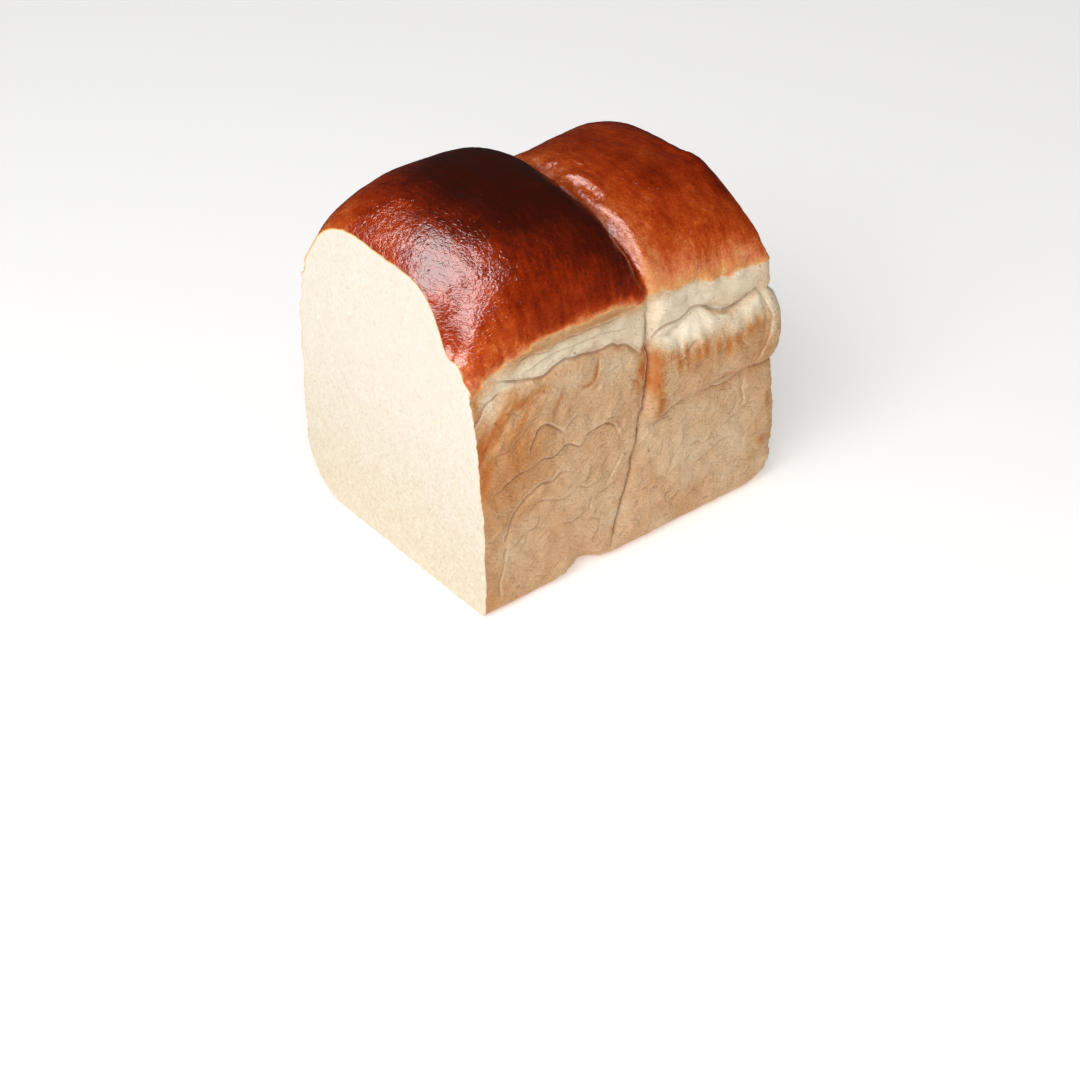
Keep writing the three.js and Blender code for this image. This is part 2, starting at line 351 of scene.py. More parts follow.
def round_edges(points):
    """Pulls the tin's lower edges and the two upright corners onto balls of dough."""
    x, y, z = points.T
    back = y > 0
    lift = np.where(back, 13 * bell(x + 75, 18), 10 * bell(x + 25, 8)) + 8 * smooth(x, 60, HALF_LENGTH)
    base = np.where(back, BACK_BASE_RADIUS, BASE_RADIUS) + lift
    side = lerp(base, CORNER_RADIUS, smooth(x, HALF_LENGTH - 3 * CORNER_RADIUS, HALF_LENGTH))
    width = half_width(z, back)
    past = np.stack(
        [
            clamp((x - HALF_LENGTH + CORNER_RADIUS) / CORNER_RADIUS),
            clamp((np.abs(y) - width + side) / side),
            clamp((base - z) / base),
        ]
    )
    length = np.linalg.norm(past, axis=0)
    pull = np.where(length > 0, past.max(0) / np.maximum(length, 1e-9), 1)
    x = np.where(past[0] > 0, HALF_LENGTH - CORNER_RADIUS + CORNER_RADIUS * past[0] * pull, x)
    y = np.where(past[1] > 0, np.sign(y) * (width - side + side * past[1] * pull), y)
    z = np.where(past[2] > 0, base - base * past[2] * pull, z)
    return np.stack([x, y, z], axis=1)


bpy.ops.object.select_all(action="DESELECT")
bpy.ops.mesh.primitive_cube_add(size=2)
loaf = bpy.context.object
loaf.name = "tin_loaf"
for axis, steps in enumerate((COLUMNS, ROWS_ACROSS, ROWS_UP)):
    select_edges_along(loaf, axis)
    bpy.ops.mesh.subdivide(number_cuts=steps - 1)
    bpy.ops.object.mode_set(mode="OBJECT")
corners = coordinates(loaf) * MM
place_points(loaf, round_edges(let_rise(corners)))
print("block of dough:", len(loaf.data.polygons), "faces")

# %% [markdown]
# The grid of a cube is crowded at the shoulders and thin elsewhere. A sculptor would remesh now, and
# so does this lesson: the voxel remesh lays even squares of under a millimetre over the whole loaf,
# small enough for a wrinkle in the crust.

# %% Remesh to even squares
SQUARE = 0.82 * MM
remesh = loaf.modifiers.new("even_squares", "REMESH")
remesh.mode = "VOXEL"
remesh.voxel_size = SQUARE
remesh.use_smooth_shade = True
bpy.context.view_layer.objects.active = loaf
bpy.ops.object.modifier_apply(modifier=remesh.name)
print("even squares:", len(loaf.data.polygons), "faces")

# %% [markdown]
# ## The big creases
#
# Two creases run round the whole loaf, because the dough tore where it left the tin. On the tall ball
# they are the foot of a sunken, pale band and a long wrinkle. On the low ball the skin between them
# puffed up into a roll. A seam runs down both side walls where the two balls met.


# %% Lines of the creases and the seam
def seam_x(z):
    return lerp(SEAM_TOP + 1, SEAM_FOOT, clamp((RIM - z) / RIM) ** 1.5)


def beyond_seam(x, z):
    return smooth(x, seam_x(z) - 3, seam_x(z) + 5)


def at_end_wall(x, y, height):
    return height * np.cos(np.pi * y / (2 * HALF_WIDTH)) * smooth(x, 56, HALF_LENGTH)


def upper_crease(x, y):
    tall = 99 - 13 * clamp((x + 20) / 32) ** 2 - 5 * bell(x + HALF_LENGTH, 7)
    low = 93.5 + 2.6 * np.cos((x - 35) / 5.5) - 5 * smooth(x, 60, HALF_LENGTH)
    return lerp(tall, low, beyond_seam(x, 88)) + at_end_wall(x, y, 3 * np.sin(y / 15))


def lower_crease(x, y):
    tall = lerp(57, 64, smooth(x, -72, -40)) - 3 * bell(x + 26, 5)
    low = 61.5 - 7 * bell(x - SEAM_TOP, 7) + 1.2 * np.sin(x / 6)
    return lerp(tall, low, beyond_seam(x, 56)) + at_end_wall(x, y, 4 * np.cos(y / 19 + 1))


print("the seam runs from x", seam_x(RIM), "at the rim to", seam_x(0.0), "at the base")

# %% [markdown]
# Lines alone change nothing, so the next step turns them into a height: how far each point of the
# skin moves out or in along its normal. A sculptor's inflate brush does the same by hand. Band, roll,
# seam and bulges are worked out for the side walls and the end wall, and each point takes the mix that
# its normal asks for.


# %% Press them into the dough
def unevenness(a, b, phase):
    long = np.sin(a / 17 + phase) * np.cos(b / 21 - phase)
    return 0.7 * long + 0.3 * np.sin(a / 8.5 - b / 13 + 2 * phase)


def facing(piece):
    flat = np.empty(len(piece.data.vertices) * 3)
    piece.data.vertices.foreach_get("normal", flat)
    return flat.reshape(-1, 3)


def big_relief(points, normals):
    """Outward offset in mm of the band, the roll, the seam and the bulges."""
    x, y, z = points.T
    high, low = upper_crease(x, y), lower_crease(x, y)
    band = -1.6 * swelling(z, high, RIM + 8) - 1.4 * bell(z - high, 2.2)
    tall = band - 0.5 * bell(z - low, 5)
    roll = 4.2 * swelling(z, low, high) - 1.3 * bell(z - high, 1.8) - 0.8 * bell(z - low, 2.2)
    seam = -lerp(0.8, 1.6, clamp(z / RIM)) * bell(x - seam_x(z), 2.2)
    edge = 67 - 9 * ((z - 84) / 22) ** 2
    tongue = -0.9 * bell(x - edge, 1.8) * swelling(z, 60, 96)
    roll += 0.4 * np.sin(x / 1.25 + 1.5 * np.sin(x / 5)) * bell(z - high + 6, 5)
    roll += 1.5 * bell(np.hypot(x - 19, z - 103), 6) + 0.9 * bell(np.hypot(x - 41, z - 106), 4)
    side = lerp(tall, roll, beyond_seam(x, z)) + seam + tongue
    side += unevenness(x, z, 1.7 + np.sign(y))
    end = roll + 3.2 * bell(z - 30, 24) + unevenness(y, z, 4.1) - 0.8
    above_base = smooth(z, 1, 2 * BASE_RADIUS)
    below_dome = 1 - smooth(z, RIM + 8, RIM + 20)
    upright = normals[:, 1] ** 2 * side + clamp(normals[:, 0]) ** 2 * end
    curl = 16 + 1.5 * np.sin(y / 7) + 0.05 * y
    fold = 1.3 * np.tanh((x - curl) / 2.2) * bell(x - curl, 8) * smooth(z, 112, 122)
    dome = clamp(normals[:, 2]) * unevenness(x, y, 0.6) + fold
    return above_base * (below_dome * upright + dome)


def push_out(piece, relief):
    """Moves the points of a piece outwards by the relief at each of them."""
    points, normals = coordinates(piece), facing(piece)
    points += normals * relief(points, normals)[:, None]
    points[:, 2] = np.maximum(points[:, 2], 0)
    place_points(piece, points)


push_out(loaf, big_relief)
print("the loaf is now", [round(v) for v in np.ptp(coordinates(loaf), axis=0)], "mm")

# %% [markdown]
# ## Table of wrinkles
#
# Each wrinkle of the front wall is one stroke, as a sculptor would draw it: a few points along the
# wall (x and z in mm), how deep the groove is, how high a lip stands above it, how much lower the skin
# lies on the other side, how wide it all is, and how strongly shade is painted into its line and a
# highlight onto its lip.

# %% Strokes on the front wall
# name: (points, groove, lip, step, width, painted_crease_shading)
FRONT_STROKES = {
    "foot of the band": (
        [(-66, 104), (-60, 103), (-53, 100), (-47, 99), (-42, 98), (-37, 99), (-31, 100), (-25, 99),
         (-19, 98), (-15, 97), (-7, 97), (-4, 95), (0, 94), (4, 90), (8, 87)],
        1.0, 0.2, -0.7, 0.9, 0.75,
    ),
    "line in the band": (
        [(-56, 107), (-48, 109), (-40, 108), (-31, 110), (-23, 109), (-16, 109), (-8, 107), (0, 108)],
        0.5, 0.3, 0.4, 0.8, 0.45,
    ),
    "second line in the band": (
        [(-54, 102), (-46, 103), (-38, 105), (-30, 105), (-21, 104), (-12, 104), (-4, 102), (3, 101)],
        0.4, 0.5, 0.6, 1.0, 0.3,
    ),
    "flap at the cut": ([(-60, 99), (-66, 97), (-69, 95), (-72, 92), (-76, 89)], 1.6, -0.5, -0.6, 1.3, 0.55),
    "long wrinkle": (
        [(-72, 57), (-66, 58), (-62, 60), (-58, 61), (-49, 62), (-45, 63), (-40, 62), (-36, 64), (-32, 64),
         (-27, 61), (-25, 63), (-22, 65), (-15, 66), (-12, 65), (-9, 62), (-7, 55)],
        0.9, 0.6, 0.7, 0.8, 0.7,
    ),
    "loop over it": (
        [(-51, 68), (-51, 71), (-49, 74), (-47, 78), (-44, 79), (-41, 77), (-37, 73), (-33, 69)],
        0.8, 0.3, 0.5, 0.8, 0.65,
    ),
    "fold near the cut": (
        [(-68, 74), (-64, 74), (-60, 75), (-53, 80), (-49, 83), (-45, 84)],
        0.8, 0.6, 0.5, 2.0, 0.3,
    ),
    "small fold": ([(-34, 72), (-31, 74), (-26, 76)], 0.5, 0.3, 0.3, 0.8, 0.4),
    "swirl": (
        [(-65, 30), (-64, 35), (-62, 39), (-60, 44), (-57, 47), (-52, 50), (-46, 52), (-41, 51),
         (-37, 53), (-31, 52)],
        0.8, -0.3, -0.5, 0.9, 0.55,
    ),
    "pale ridge in the swirl": (
        [(-59, 42), (-54, 45), (-48, 46), (-43, 45), (-36, 42), (-29, 43)],
        -0.5, 0.2, 0.3, 0.8, 0.0,
    ),
    "under the ridge": ([(-55, 41), (-49, 44), (-43, 43), (-36, 40), (-28, 41)], 0.4, 0.0, 0.2, 0.7, 0.35),
    "crack at the cut": ([(-64, 33), (-65, 28), (-66, 22), (-68, 14), (-68, 6)], 0.35, 0.2, 0.2, 0.8, 0.4),
    "tuck": ([(-29, 44), (-25, 41), (-21, 41), (-15, 43)], 0.5, 0.3, 0.3, 0.8, 0.4),
    "tuck below": ([(-61, 29), (-55, 32), (-50, 33), (-46, 38)], 0.5, 0.3, 0.3, 0.8, 0.35),
    "low wrinkle": ([(-37, 29), (-32, 27), (-27, 28), (-24, 29)], 0.5, 0.4, 0.3, 0.8, 0.4),
    "short upright": ([(-22, 36), (-23, 28)], 0.4, 0.2, 0.0, 0.7, 0.3),
    "by the seam": ([(-7, 50), (-10, 44), (-13, 40), (-15, 36)], 0.3, 0.2, 0.2, 0.9, 0.3),
    "tuck by the seam": ([(-19, 35), (-14, 35), (-9, 37)], 0.5, 0.3, 0.2, 0.8, 0.35),
    "arc under the band": ([(-15, 97), (-16, 91), (-18, 87), (-21, 86), (-25, 86)], 0.5, 0.2, 0.4, 0.8, 0.35),
    "light ridge": ([(-42, 94), (-44, 89), (-47, 88), (-53, 84)], -0.8, 0.0, 0.4, 0.9, 0.0),
    "second light ridge": ([(-59, 87), (-61, 82), (-64, 79), (-67, 76)], -0.7, 0.0, 0.4, 0.9, 0.0),
    "third light ridge": ([(-14, 84), (-20, 80), (-23, 76)], -0.6, 0.0, 0.3, 0.9, 0.0),
    "top of the roll": (
        [(11, 88), (13, 92), (15, 95), (20, 96), (25, 96), (29, 97), (34, 98), (39, 96), (43, 93), (48, 91),
         (52, 91), (58, 92), (65, 94), (67, 91)],
        0.9, 0.0, -0.9, 0.9, 0.65,
    ),
    "end of the roll": (
        [(66, 92), (68, 87), (69, 82), (68, 77), (66, 72), (63, 67), (61, 61)],
        0.3, 0.2, 0.3, 0.9, 0.35,
    ),
    "foot of the roll": (
        [(8, 53), (14, 55), (18, 57), (22, 59), (26, 61), (29, 62), (37, 61), (43, 59), (48, 59),
         (53, 60), (62, 60)],
        1.1, 0.9, 0.9, 1.0, 0.6,
    ),
    "upright crease": ([(57, 58), (56, 51), (57, 47), (55, 41)], 0.35, 0.2, 0.2, 0.9, 0.35),
    "step at the corner": ([(62, 61), (66, 59), (73, 60)], 0.8, 0.5, 0.5, 0.9, 0.45),
    "fold in the roll": ([(40, 85), (38, 77), (38, 66)], 0.25, 0.1, 0.1, 1.4, 0.15),
    "second fold in the roll": ([(47, 90), (44, 82)], 0.25, 0.1, 0.1, 1.4, 0.1),
    "far wrinkle": ([(44, 38), (52, 40), (60, 43), (66, 42)], 0.5, 0.4, 0.3, 0.9, 0.35),
    "far low wrinkle": ([(30, 27), (38, 28), (46, 31), (55, 30)], 0.4, 0.3, 0.3, 0.9, 0.3),
}

# %% [markdown]
# The other walls were pressed against the same tin, so they wrinkle in the same way. Drawing them one
# by one would add nothing to learn. A small rule draws their strokes: it starts somewhere, wanders
# mostly along the wall, and lifts off after a few centimetres.


# %% Strokes on the other walls
def smooth_line(points, per_step=8):
    """Points on a Catmull-Rom curve through the given ones."""
    p = np.array(points, float)
    p = np.vstack([2 * p[0] - p[1], p, 2 * p[-1] - p[-2]])
    t = np.arange(per_step)[:, None] / per_step
    parts = []
    for a, b, c, d in zip(p, p[1:], p[2:], p[3:]):
        bend = (2 * a - 5 * b + 4 * c - d) * t**2 + (3 * b - a - 3 * c + d) * t**3
        parts.append(0.5 * (2 * b + (c - a) * t + bend))
    return np.vstack([*parts, p[-2]])


def clear_of(strokes, taken, gap):
    """The strokes that keep a gap in mm from the taken ones and from each other."""
    kept, lines = [], [smooth_line(stroke[0]) for stroke in taken]
    for stroke in strokes:
        line = smooth_line(stroke[0])
        if all(np.linalg.norm(line[:, None] - other[None], axis=2).min() > gap for other in lines):
            kept.append(stroke)
            lines.append(line)
    return kept


def wandering_strokes(count, length_range, low, high, seed, heavy=1.0):
    """Strokes in mm along a wall that runs from low to high, each a wandering line."""
    rng = np.random.default_rng(seed)
    strokes = []
    for number in range(count):
        share = np.array([(0.618 * number) % 1, rng.uniform()])  # spread evenly along the wall
        at = lerp(np.array(low), np.array(high), share)
        heading = rng.normal(0.3, 0.35)
        points = [tuple(at)]
        stride = length_range[0] / 2
        for _ in range(max(2, int(rng.uniform(*length_range) / stride))):
            heading += rng.normal(0, 0.3)
            at = at + stride * np.array([math.cos(heading), math.sin(heading)])
            points.append(tuple(at))
        strength = heavy * rng.uniform(0.5, 1.1)
        side = rng.choice([-1, 1])
        strokes.append((points, 0.8 * strength, 0.5 * strength, 0.6 * strength * side, 0.9, 0.6 * strength))
    return strokes


def uneven_line(line, start, end, seed):
    """Points every 5 mm along a line, shaken a little."""
    rng = np.random.default_rng(seed)
    return [(at, line(at) + rng.normal(0, 0.7)) for at in np.arange(start, end, 5.0)]


SEAM = [(float(seam_x(z)), z) for z in range(2, 113, 10)]
SEAM_STROKE = (SEAM, 1.2, 0.2, 0.2, 1.3, 0.8)


def creases(at, seed):
    """The two creases round the loaf, as strokes on a wall where at(value) gives its place."""
    return [
        (uneven_line(lambda value: upper_crease(*at(value)), -76, 76, seed), 1.1, 0.0, -0.8, 1.0, 0.7),
        (uneven_line(lambda value: lower_crease(*at(value)), -76, 76, seed + 1), 1.0, 0.7, 0.8, 1.0, 0.6),
    ]


SMALL = wandering_strokes(26, (7, 16), (-60, 100), (66, 109), seed=6, heavy=0.4)
SMALL += wandering_strokes(150, (3, 9), (-70, 5), (66, 58), seed=8, heavy=0.55)
SMALL += wandering_strokes(50, (4, 9), (-60, 66), (66, 90), seed=9, heavy=0.45)
FRONT_STROKES["seam"] = SEAM_STROKE
SMALL = clear_of(SMALL, FRONT_STROKES.values(), 2.2)
FRONT_STROKES.update((f"small wrinkle {number}", stroke) for number, stroke in enumerate(SMALL))

BACK_STROKES = [SEAM_STROKE, *creases(lambda x: (x, 60), 12)]
LONG = wandering_strokes(60, (15, 45), (-72, 8), (70, 90), seed=11, heavy=0.85)
BACK_STROKES += clear_of(LONG, BACK_STROKES, 2.5)
SMALL = wandering_strokes(26, (7, 16), (-60, 100), (66, 109), seed=7, heavy=0.4)
SMALL += wandering_strokes(200, (3, 9), (-70, 5), (68, 90), seed=10, heavy=0.5)
BACK_STROKES += clear_of(SMALL, BACK_STROKES, 2.2)

END_STROKES = creases(lambda y: (75, y), 14)
LONG = wandering_strokes(40, (12, 36), (-50, 8), (50, 56), seed=5, heavy=0.75)
END_STROKES += clear_of(LONG, END_STROKES, 2.5)
SMALL = wandering_strokes(130, (3, 9), (-52, 5), (52, 88), seed=17, heavy=0.5)
SMALL += wandering_strokes(16, (7, 16), (-50, 99), (50, 107), seed=18, heavy=0.4)
END_STROKES += clear_of(SMALL, END_STROKES, 2.2)

# on the humps, seen from above: x and y in mm
TOP_STROKES = [
    ([(13, 9), (17, 5), (20, 1), (22, -5), (22, -12), (20, -20)], -1.3, 0.0, 0.0, 2.0, 0.0),
    ([(13, 3), (16, 0), (18, -5), (18, -12), (17, -18)], 1.0, 0.0, 0.3, 1.6, 0.0),
    ([(18, 16), (20, 12), (23, 8), (25, 2)], 0.6, 0.3, 0.3, 1.5, 0.0),
    ([(60, -22), (62, -15), (60, -6), (61, 2)], 0.8, 0.3, -0.6, 1.6, 0.0),
    ([(33, -46), (36, -38), (38, -30)], 0.35, 0.2, 0.2, 1.6, 0.0),
    ([(52, -44), (55, -36), (56, -26)], 0.35, 0.2, -0.2, 1.6, 0.0),
]
print("strokes:", len(FRONT_STROKES), "front,", len(BACK_STROKES), "back,", len(END_STROKES), "end")

# %% [markdown]
# To carve a stroke, its points become a smooth line, and each point of the wall finds its nearest
# place on that line. The distance, with a sign for the side it lies on, then gives the height. Both
# ends of a stroke fade out, as no wrinkle stops at a wall.


# %% Carve the strokes
REACH = 12.0  # how far from its line a stroke is worked out, in mm


def carve(flat, stroke):
    """Height of one stroke at points (n, 2) of a wall, their signed distance from it, and how strongly shade
    and highlight are painted along it.
    """
    points, groove, lip, step, width, painted_crease_shading = stroke
    line = smooth_line(points)
    height, gap, dark = np.zeros(len(flat)), np.full(len(flat), REACH), np.zeros(len(flat))
    near = ((flat > line.min(0) - REACH) & (flat < line.max(0) + REACH)).all(1).nonzero()[0]
    gaps = flat[near, None, :] - line[None]
    distance = np.hypot(gaps[..., 0], gaps[..., 1])
    nearest = distance.argmin(1)
    off = gaps[np.arange(len(near)), nearest]
    along = np.gradient(line, axis=0)[nearest]
    along /= np.linalg.norm(along, axis=1)[:, None]
    s = along[:, 0] * off[:, 1] - along[:, 1] * off[:, 0]
    span = distance[np.arange(len(near)), nearest]
    s = np.where(span > np.abs(s) + 1, np.where(s < 0, -span, span), s)
    share = nearest / (len(line) - 1)
    fade = smooth(share, 0, 0.12) * (1 - smooth(share, 0.88, 1))
    relief = -0.6 * groove * bell(s, width) + 0.8 * lip * bell(s - 1.7 * width, 1.3 * width)
    relief += 0.5 * step * np.tanh(s / width) * bell(s, 6)
    height[near], gap[near], dark[near] = fade * relief, s, fade * painted_crease_shading
    return height, gap, dark


def wall_shares(points):
    """How far each point belongs to the front wall, the back wall and the end wall."""
    x, y, z = points.T
    width = half_width(z, y > 0)
    to_end = smooth((x - HALF_LENGTH) - (np.abs(y) - width), -2, 2)
    side = smooth(np.abs(y) / width, 0.86, 0.93) * (1 - to_end) * smooth(z, 1, 4)
    return side * (y < 0), side * (y > 0), to_end * smooth(x, 64, 70) * smooth(z, 1, 4)


def all_strokes(points):
    """Height of all strokes, and the distance and painted shading of the nearest stroke that has painted
    shading.
    """
    front, back, end = wall_shares(points)
    walls = [
        (FRONT_STROKES.values(), points[:, [0, 2]], front),
        (BACK_STROKES, points[:, [0, 2]], back),
        (END_STROKES, points[:, [1, 2]], end),
        (TOP_STROKES, points[:, [0, 1]], smooth(points[:, 2], 112, 118)),
    ]
    height, painted_crease_shading = np.zeros(len(points)), np.zeros(len(points))
    nearest, second = np.full(len(points), REACH), np.full(len(points), REACH)
    for strokes, flat, turned in walls:
        for stroke in strokes:
            h, gap, dark = carve(flat, stroke)
            height += turned * h
            # strokes with painted shade in their crease and a painted highlight on their lip
            has_painted_shading = turned * dark > 0.02
            closer = has_painted_shading & (np.abs(gap) < np.abs(nearest))
            other = np.where(closer, np.abs(nearest), np.where(has_painted_shading, np.abs(gap), REACH))
            second = np.minimum(second, other)
            nearest = np.where(closer, gap, nearest)
            painted_crease_shading = np.where(closer, turned * dark, painted_crease_shading)
    alone = smooth(second - np.abs(nearest), 0.8, 2.4)
    return height, nearest, painted_crease_shading * alone * (1 - smooth(np.abs(nearest), 1.4, 2.6))


# %% [markdown]
# Between the strokes the skin is never smooth. Four fine reliefs are added: shallow lines where an
# uneven field crosses zero, which look like skin drawn together, slanting folds, pits where gas burst
# against the tin, and on the humps the small dimples of a glazed crust.


# %% Fine relief of the skin
SLANT = math.radians(28)  # how steeply the folds of the wall skin run


def dome_share(points):
    """1 on the humps, 0 on the walls."""
    return smooth(points[:, 2], 108, 116)


def pits(points, normals, count=130, seed=3):
    """Small round holes on the walls, in mm."""
    rng = np.random.default_rng(seed)
    hollow = np.zeros(len(points))
    walls = ((normals[:, 2] < 0.5) & (points[:, 2] > 6) & (points[:, 2] < 82)).nonzero()[0]
    for _ in range(count):
        middle = points[rng.choice(walls)]
        radius = rng.uniform(0.8, 1.5)
        near = (np.abs(points - middle) < 4).all(1).nonzero()[0]
        gap = np.linalg.norm((points[near] - middle) * (0.75, 0.75, 1.1), axis=1)
        hollow[near] += rng.uniform(0.35, 0.9) * bell(gap, radius)
    return hollow


def fine_relief(points, normals):
    height, _, _ = all_strokes(points)
    dome = dome_share(points)
    drawn = ripples(points, 9, 21, stretch=(1.8, 1.8, 0.8))
    drawn += 0.5 * ripples(points, 4, 22, stretch=(1.5, 1.5, 0.8))
    where = smooth(ripples(points, 22, 23), -0.6, 0.8)
    wrinkles = -0.35 * bell(drawn, 0.22) * where
    x, y, z = points.T
    along, up = math.cos(SLANT), math.sin(SLANT)
    turned = np.stack([x * along + z * up, y, z * along - x * up], axis=1)
    folded = bell(ripples(turned, 2.2, 29, stretch=(2.6, 2.6, 1)), 0.5)
    folded *= smooth(ripples(points, 13, 30), -0.7, 0.7)
    wrinkles += 0.42 * folded * (1 - smooth(z, 66, 78) * smooth(x, 0, 10))
    soft = 0.2 * ripples(points, 5, 24) + 0.09 * ripples(points, 2.0, 27, stretch=(1.6, 1.6, 0.8))
    in_band = smooth(z, 96, 99) * (1 - smooth(z, 108, 112))
    soft += in_band * (0.25 * ripples(points, 3.5, 28, stretch=(1.8, 1.8, 0.8)) - 0.1)
    dimples = 0.05 * ripples(points, 2.6, 25) + 0.22 * ripples(points, 9, 26, stretch=(1, 2.5, 1))
    walls = wrinkles + soft - pits(points, normals)
    return smooth(z, 0.2, 4) * (height + lerp(walls, dimples, dome))


push_out(loaf, fine_relief)
print("wrinkled:", [round(v, 1) for v in np.ptp(coordinates(loaf), axis=0)], "mm")

# %% [markdown]
# Half a million triangles is more than the loaf needs. The decimate modifier takes them where they
# show least: the flat base and the calm places give theirs up, the wrinkles keep them.

# %% Thin the mesh where it is calm
TRIANGLES = 196_000
thin = loaf.modifiers.new("thin", "DECIMATE")
thin.ratio = TRIANGLES / (2 * len(loaf.data.polygons))
bpy.context.view_layer.objects.active = loaf
bpy.ops.object.modifier_apply(modifier=thin.name)
print("thinned to", len(loaf.data.polygons), "faces")

# %% [markdown]
# ## The bread knife
#
# The cut face could be a flat cap, but crumb is a sponge. A fine grid is roughened first, a few torn
# cells are pressed into it, and it is extruded into a slab: that is the knife. A Boolean takes the
# slab away from the loaf and leaves the rough grid behind as crumb, with a crisp edge at the crust.

# %% Make the knife and cut
CUT_SQUARE = 1.15
KNIFE = {"across": 150, "up": 170, "thick": 30, "below": 8}
knife_steps = [int(KNIFE[side] / CUT_SQUARE) for side in ("across", "up")]
bpy.ops.mesh.primitive_grid_add(x_subdivisions=knife_steps[0], y_subdivisions=knife_steps[1], size=2)
knife = bpy.context.object
knife.name = "knife"
grid = coordinates(knife) * MM
flat = np.stack(
    [
        np.full(len(grid), -HALF_LENGTH),
        grid[:, 0] * KNIFE["across"] / 2,
        (grid[:, 1] + 1) / 2 * KNIFE["up"] - KNIFE["below"],
    ],
    axis=1,
)


def crumb_relief(points, seed=8, tears=60):
    """How deep the knife's face reaches into the crumb, in mm. It runs smoothly near the crust."""
    depth = 0.09 * ripples(points, 1.5, seed) + 0.06 * ripples(points, 4, seed + 1)
    y, z = points[:, 1], points[:, 2]
    width = half_width(z, y > 0)
    to_crust = np.minimum(top_height(-HALF_LENGTH, y, width) - z, width - np.abs(y))
    rng = np.random.default_rng(seed)
    for _ in range(tears):
        middle = np.array([0, rng.uniform(-52, 52), rng.uniform(8, 125)])
        lean = rng.uniform(0, math.pi)
        gap = points - middle
        along = gap[:, 1] * math.cos(lean) + gap[:, 2] * math.sin(lean)
        across = gap[:, 2] * math.cos(lean) - gap[:, 1] * math.sin(lean)
        deep, long, wide = rng.uniform(0.3, 0.8), rng.uniform(1.2, 3), rng.uniform(0.7, 1.1)
        depth += deep * bell(along, long) * bell(across, wide)
    return depth * smooth(to_crust, 0.5, 6)


flat[:, 0] += crumb_relief(flat)
place_points(knife, flat)
print("knife:", len(knife.data.polygons), "squares")

# %% [markdown]
# Before the cut, each of the two is told which finish its faces show. The Boolean keeps that, so that
# the faces which the knife leaves behind are crumb and all others are crust. The edge between them
# stays sharp, while everything else is shaded smoothly.

# %% Cut
CRUST, CRUMB = 0, 1
FINISHES = [bpy.data.materials.new(name) for name in ("crust", "crumb")]


def show(piece, finish):
    """Gives a piece both finishes, and sets the one that its faces show."""
    piece.data.materials.clear()
    for material in FINISHES:
        piece.data.materials.append(material)
    for face in piece.data.polygons:
        face.material_index = finish


pick(knife)
bpy.ops.object.mode_set(mode="EDIT")
bpy.ops.mesh.select_all(action="SELECT")
bpy.ops.mesh.extrude_region_move(TRANSFORM_OT_translate={"value": (-KNIFE["thick"] * MM, 0, 0)})
bpy.ops.mesh.select_all(action="SELECT")
bpy.ops.mesh.normals_make_consistent(inside=False)
bpy.ops.object.mode_set(mode="OBJECT")
show(loaf, CRUST)
show(knife, CRUMB)

cut = loaf.modifiers.new("cut", "BOOLEAN")
cut.operation = "DIFFERENCE"
cut.solver = "MANIFOLD"
cut.object = knife
bpy.context.view_layer.objects.active = loaf
bpy.ops.object.modifier_apply(modifier=cut.name)
bpy.data.objects.remove(knife)
print("cut:", len(loaf.data.polygons), "faces")

# %% [markdown]
# A cut through crust is crisp, so its outline is marked sharp: the crumb faces are selected, their
# region gives its outline, and shading stops being smooth there. The points of that outline are kept,
# because the golden rim is measured from them later.

# %% The sharp edge between crumb and crust
loaf.data.polygons.foreach_set("use_smooth", np.ones(len(loaf.data.polygons), bool))
pick(loaf, "FACE")
for face in loaf.data.polygons:
    face.select = face.material_index == CRUMB
bpy.ops.object.mode_set(mode="EDIT")
bpy.ops.mesh.region_to_loop()
bpy.ops.mesh.mark_sharp()
bpy.ops.mesh.select_mode(type="VERT")
bpy.ops.object.mode_set(mode="OBJECT")
edge_of_cut = [v.index for v in loaf.data.vertices if v.select]
crumb_faces = [face for face in loaf.data.polygons if face.material_index == CRUMB]
print("crumb faces:", len(crumb_faces), "edge points:", len(edge_of_cut))

# %% [markdown]
# ## Paint by oven heat
#
# Bread is coloured by how hot each place became. That is painted as values, not as colours: `bake`
# runs from raw to nearly burnt and belongs to the humps, and `tan` says how brown the skin in the tin
# is, toasted spots included. The shade in the creases and the highlight on their lips are painted too.
# Creases are thinner than the mesh's triangles, so this painted light isn't stored as darkness but as
# distance: `from_line` is how many mm a point lies from the nearest stroke, with a sign for its side,
# and `painted_crease_shading` how strong the painted shade and highlight of that stroke are. The
# material then paints a shaded line as thin as it likes.


# %% Heat on the humps
# how hot a hump gets with each mm above the edge of its crust
TALL_BROWNING = ([0, 2, 5, 10, 20, 34], [0, 0.38, 0.66, 0.76, 0.85, 1.0])
LOWER_BROWNING = ([0, 2, 8, 18, 32], [0, 0.30, 0.52, 0.75, 1.0])
SEAM_STEP = (SEAM_TOP - 1, SEAM_TOP + 3)


def crust_edge(x, y):
    """Height at which the browning starts, just above the rim."""
    tall = 114.7 - np.where(x < -28, 0.0062, 0.0045) * (x + 28) ** 2
    low = 109.5 - 0.125 * (x - 18) + 0.9 * np.sin(x / 3.1 + 0.6) * np.sin(x / 7.0)
    return lerp(tall, low, smooth(x, *SEAM_STEP)) + 1.2 * np.sin(y / 9) * smooth(x, 60, 75)


